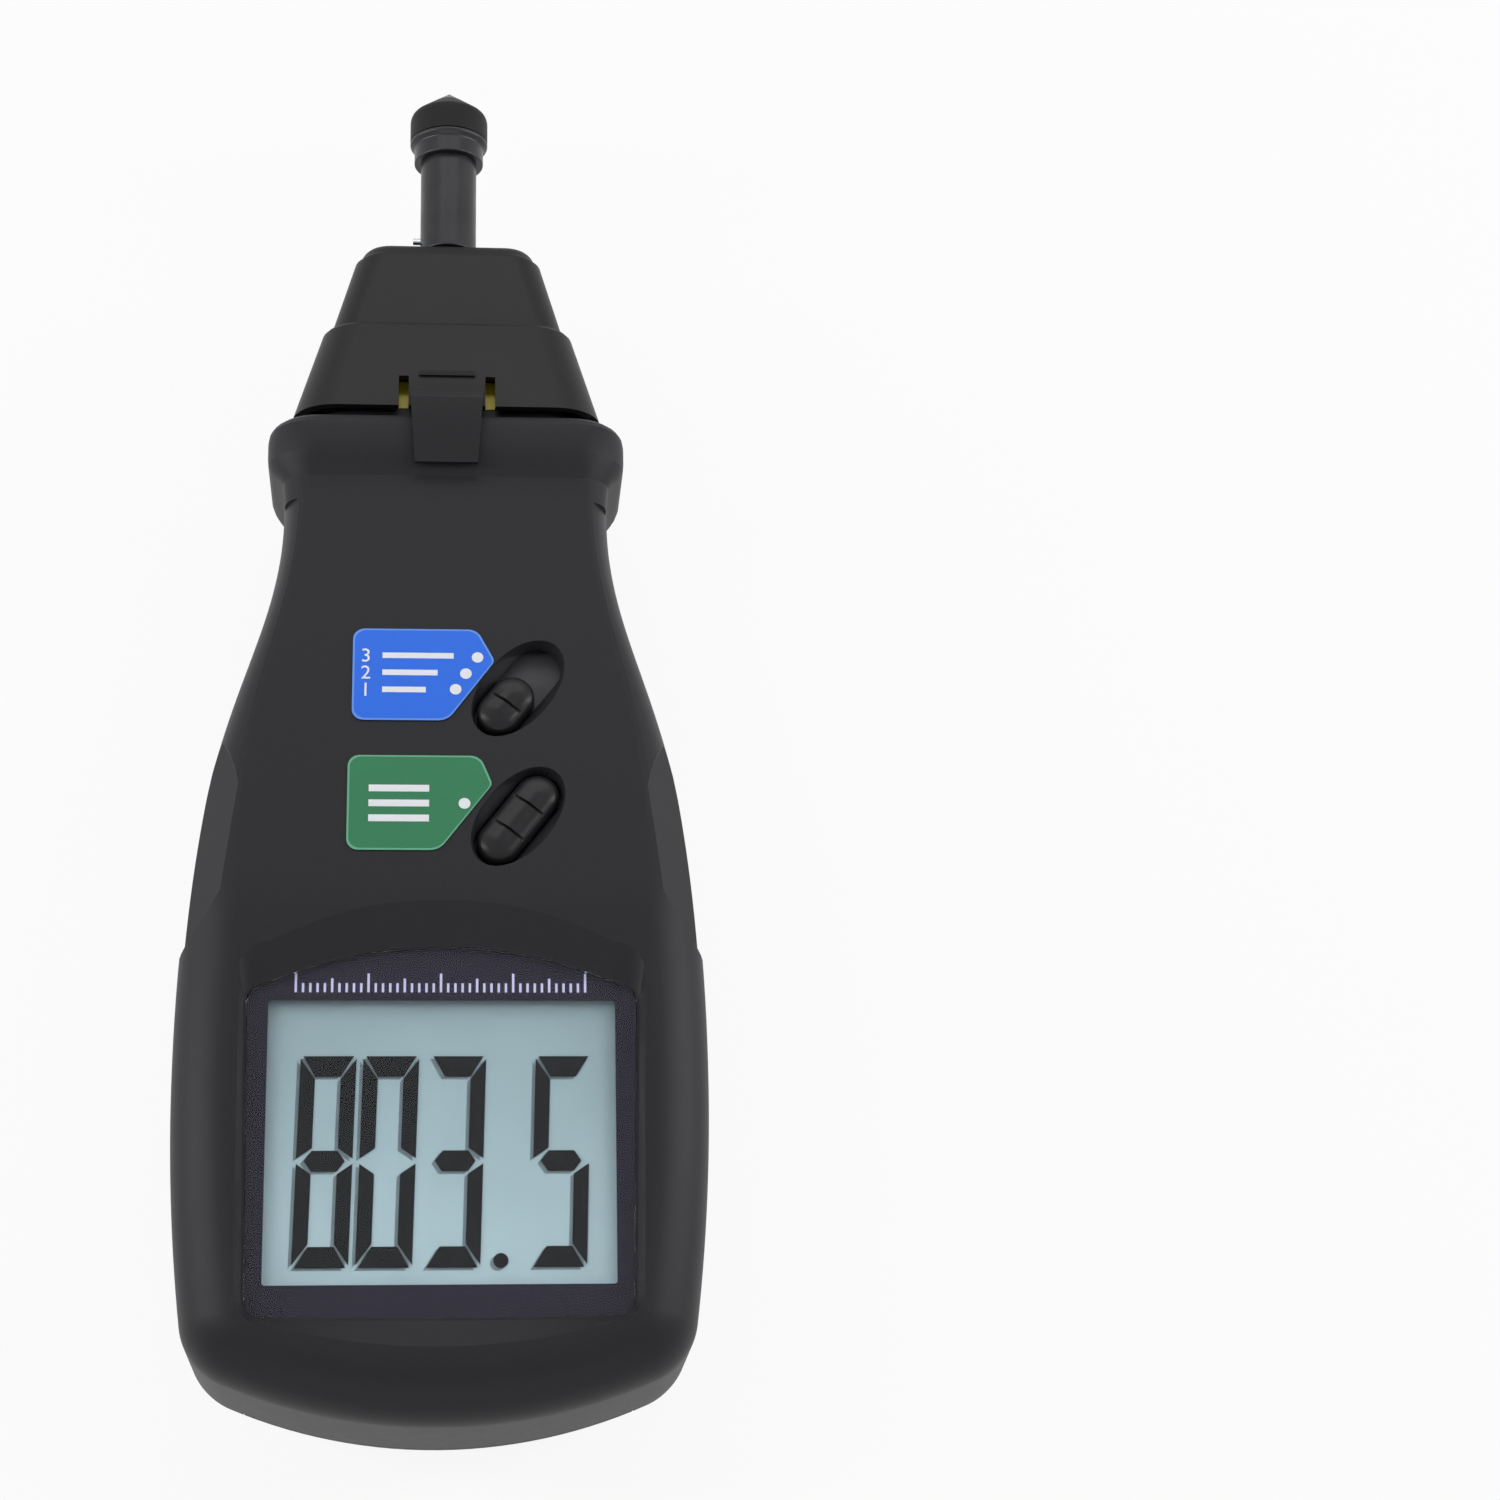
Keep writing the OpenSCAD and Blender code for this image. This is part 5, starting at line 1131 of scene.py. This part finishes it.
def skirt_at(s):
    """Half width and half thickness of the skirt at s."""
    u = (s - SKIRT_S) / (STEP_S - SKIRT_S)
    return (SKIRT_W + (SKIRT_END_W - SKIRT_W) * u) / 2, (SKIRT_T + (SKIRT_END_T - SKIRT_T) * u) / 2


def cap_at(s):
    """Half width and half thickness of the cap at s."""
    u = (s - STEP_S) / (HOOD_S - STEP_S)
    return CAP_HALF_W + (CAP_END_HALF_W - CAP_HALF_W) * u, CAP_HALF_T + (CAP_END_HALF_T - CAP_HALF_T) * u


def hood_ring(at, s, r, inset=0.0, place=None):
    """Section of the hood at s, or with the size it has there set at another place."""
    half_w, half_t = at(s)
    return section(s if place is None else place, half_w - inset, half_t - inset, max(0.6, r - inset))


def rounded_rim(at, s, r, edge, draw, steps):
    """Rings that round the hood over towards s."""
    turns = [math.pi / 2 * k / steps for k in range(1, steps + 1)]
    return [hood_ring(at, s, r, draw * (1 - math.cos(a)), s - edge + edge * math.sin(a)) for a in turns]


outer_rings = [hood_ring(skirt_at, SKIRT_S, SKIRT_R), hood_ring(skirt_at, STEP_S - SKIRT_EDGE, SKIRT_END_R)]
outer_rings += rounded_rim(skirt_at, STEP_S, SKIRT_END_R, SKIRT_EDGE, SKIRT_EDGE, 4)
outer_rings.append(hood_ring(cap_at, STEP_S, CAP_R, 0, STEP_S + 0.02))
outer_rings.append(hood_ring(cap_at, HOOD_S - CAP_EDGE, CAP_END_R))
outer_rings += rounded_rim(cap_at, HOOD_S, CAP_END_R, CAP_EDGE, CAP_DRAW, 6)
hood = loft("hood", outer_rings)
cut(hood, loft("hood_room", [
    hood_ring(skirt_at, SKIRT_S - 1, SKIRT_R, HOOD_WALL),
    hood_ring(skirt_at, STEP_S - HOOD_WALL, SKIRT_END_R, HOOD_WALL),
    hood_ring(cap_at, STEP_S, CAP_R, HOOD_WALL, STEP_S - HOOD_WALL + 0.01),
    hood_ring(cap_at, HOOD_S - HOOD_WALL, CAP_END_R, HOOD_WALL + 0.4)]))
CLIP_W, CLIP_SLOT = 10.4, 1.4
for side in (-1, 1):
    mid = side * (CLIP_W / 2 + CLIP_SLOT / 2 + 0.3)
    cut(hood, block("slot_tool", (mid - CLIP_SLOT / 2, SKIRT_S - 1, -1),
                    (mid + CLIP_SLOT / 2, SKIRT_S + 5.2, BODY_T + 1)))
cut(hood, lathe("bore_tool", [(0, HOOD_S - 3), (HOOD_BORE, HOOD_S - 3), (HOOD_BORE, HOOD_S + 3), (0, HOOD_S + 3)]))
join(hood, lathe("hub", [(HUB_BORE, HUB_S), (HUB_R, HUB_S), (HUB_R, HOOD_S - 0.7), (HUB_BORE, HOOD_S - 0.7)]))
CREST, CLIP_T, ROOT_S = 14.3, 1.2, SKIRT_S + 5.2


def clip(name, side, reach, hole):
    """Spring clip that steps out over the flange and bends in behind it."""
    root, foot, end = skirt_at(ROOT_S)[1], skirt_at(SKIRT_S)[1], SKIRT_S - reach
    profile = [
        (ROOT_S, root - HOOD_WALL), (ROOT_S, root), (SKIRT_S + 1.6, foot + 0.1), (SKIRT_S + 1.2, foot + 0.6),
        (SKIRT_S + 0.9, CREST + CLIP_T - 0.5), (SKIRT_S + 0.4, CREST + CLIP_T - 0.1), (SKIRT_S - 0.2, CREST + CLIP_T),
        (SKIRT_S - 4.3, CREST + CLIP_T), (end, CREST + CLIP_T - 0.5), (end, CREST), (SKIRT_S - 0.4, CREST),
        (SKIRT_S + 0.1, CREST - 0.6), (SKIRT_S + 0.2, foot - HOOD_WALL)]

    def half(s):
        return CLIP_W / 2 - 0.8 + 1.1 * (s - end + 1) / (ROOT_S - end + 1)

    rows = [[(way * half(s), s, AXIS_Z + side * z) for s, z in profile] for way in (-1, 1)]
    made = loft(name, rows)
    if hole:
        mouth, collar = ([(x, s + SKIRT_S - 6) for x, s in ellipse(r, r, 40)] for r in (hole, hole + 0.9))
        low, high = sorted((AXIS_Z + side * (CREST + 0.4), AXIS_Z + side * (CREST + CLIP_T + 0.25)))
        join(made, prism(name + "_collar", collar, low, high))
        low, high = sorted((AXIS_Z + side * (CREST - 1), AXIS_Z + side * (CREST + CLIP_T + 2)))
        cut(made, prism(name + "_hole", mouth, low, high))
    return made


join(hood, clip("front_clip", 1, 10, 0), clip("rear_clip", -1, 12, 1.2))
bar_z = AXIS_Z + skirt_at(ROOT_S)[1]
join(hood, block("clip_bar", (-4, ROOT_S, bar_z - 0.4), (4, ROOT_S + 0.7, bar_z + 0.4)))
dress(hood, HOOD, "adapter", "hood_plastic", "adapter_hood", bevel=0.22)

# Spindle and tip
tube = lathe("tube", rounded_profile(
    [(2.65, RING_S - 0.02), (2.65, 176.0), (2.9, TUBE_S), (4.15, TUBE_S), (4.15, RING_S - 0.02)], 0.25))
dress(tube, TUBE, "drive", "black_metal", "extension_tube")
holder = lathe("holder", rounded_profile(
    [(0, RING_S - 7), (2.6, RING_S - 7), (2.6, RING_S), (5.15, RING_S), (5.15, COLLAR_S), (5.8, COLLAR_S + 0.5),
     (5.8, RUBBER_S), (2.6, RUBBER_S), (2.6, RUBBER_S + 2.2), (0, RUBBER_S + 2.2)], 0.22))
dress(holder, TUBE, "drive", "black_metal", "tip_holder")
POINT_R, POINT_SLOPE = 2.4, math.radians(52)
POINT_S = TOTAL_L - POINT_R / math.tan(POINT_SLOPE)
rubber = lathe("contact_cone", [
    (2.61, RUBBER_S + 0.02), (5.62, RUBBER_S + 0.02), (5.76, RUBBER_S + 0.12), (5.8, RUBBER_S + 0.3), (5.8, 196.9),
    (5.78, 197.25), (5.7, 197.6), (5.55, 197.95), (5.3, 198.24), (2.42, POINT_S), (2.42, POINT_S - 0.6),
    (1.51, POINT_S - 0.6), (1.51, RUBBER_S + 2.2), (2.61, RUBBER_S + 2.2)])
dress(rubber, RUBBER, "drive", "tip_rubber", "rubber_tip")
PIN_R, PIN_L = 0.5, 5.25
pin = bmesh.new()
bmesh.ops.create_cone(pin, cap_ends=True, segments=24, radius1=PIN_R * MM, radius2=PIN_R * MM, depth=PIN_L * MM)
bmesh.ops.bevel(pin, geom=[e for e in pin.edges if e.calc_face_angle(0) > 1], offset=0.12 * MM, segments=2,
                affect="EDGES", profile=0.5)
pin_mesh = bpy.data.meshes.new("cross_pin")
pin.to_mesh(pin_mesh)
pin.free()
pin_mesh.transform(Matrix.Translation(spot(-PIN_L / 2, PIN_S, AXIS_Z)) @ Matrix.Rotation(math.pi / 2, 4, "Y"))
dress(link(pin_mesh, "cross_pin"), STEEL, "drive", "spindle_steel", "drive_pin")

# CAD nodes that show as they are
FINISH = {
    "lcd_panel": GLASS, "lcd_frame": INNER, "contact_strips": STRIP, "main_board": BOARD, "mode_lever": LEVER,
    "mode_switch": INNER, "memory_plunger": INNER, "memory_switch": INNER, "measure_plunger": INNER,
    "measure_switch": INNER, "nose_label": YELLOW, "cell_1": WRAP, "cell_2": WRAP, "cell_3": WRAP, "cell_4": WRAP,
    "contact_springs": NICKEL, "contact_plates": NICKEL, "case_screws": SCREW, "board_screws": SCREW,
    "processor": EPOXY_DARK, "sensor_window": WINDOW, "sensor_board": BOARD, "light_emitter": EPOXY_RED,
    "light_detector": EPOXY_DARK, "sensor_cable": RIBBON, "bearing_outer": BEARING, "bearing_inner": BEARING,
    "bearing_spacer": STEEL, "retaining_ring": STEEL, "spindle": STEEL, "reflective_disc": FOIL, "steel_point": POINT}
for name, finish in FINISH.items():
    slots = nodes[name].data.materials
    slots.clear()
    slots.append(finish)
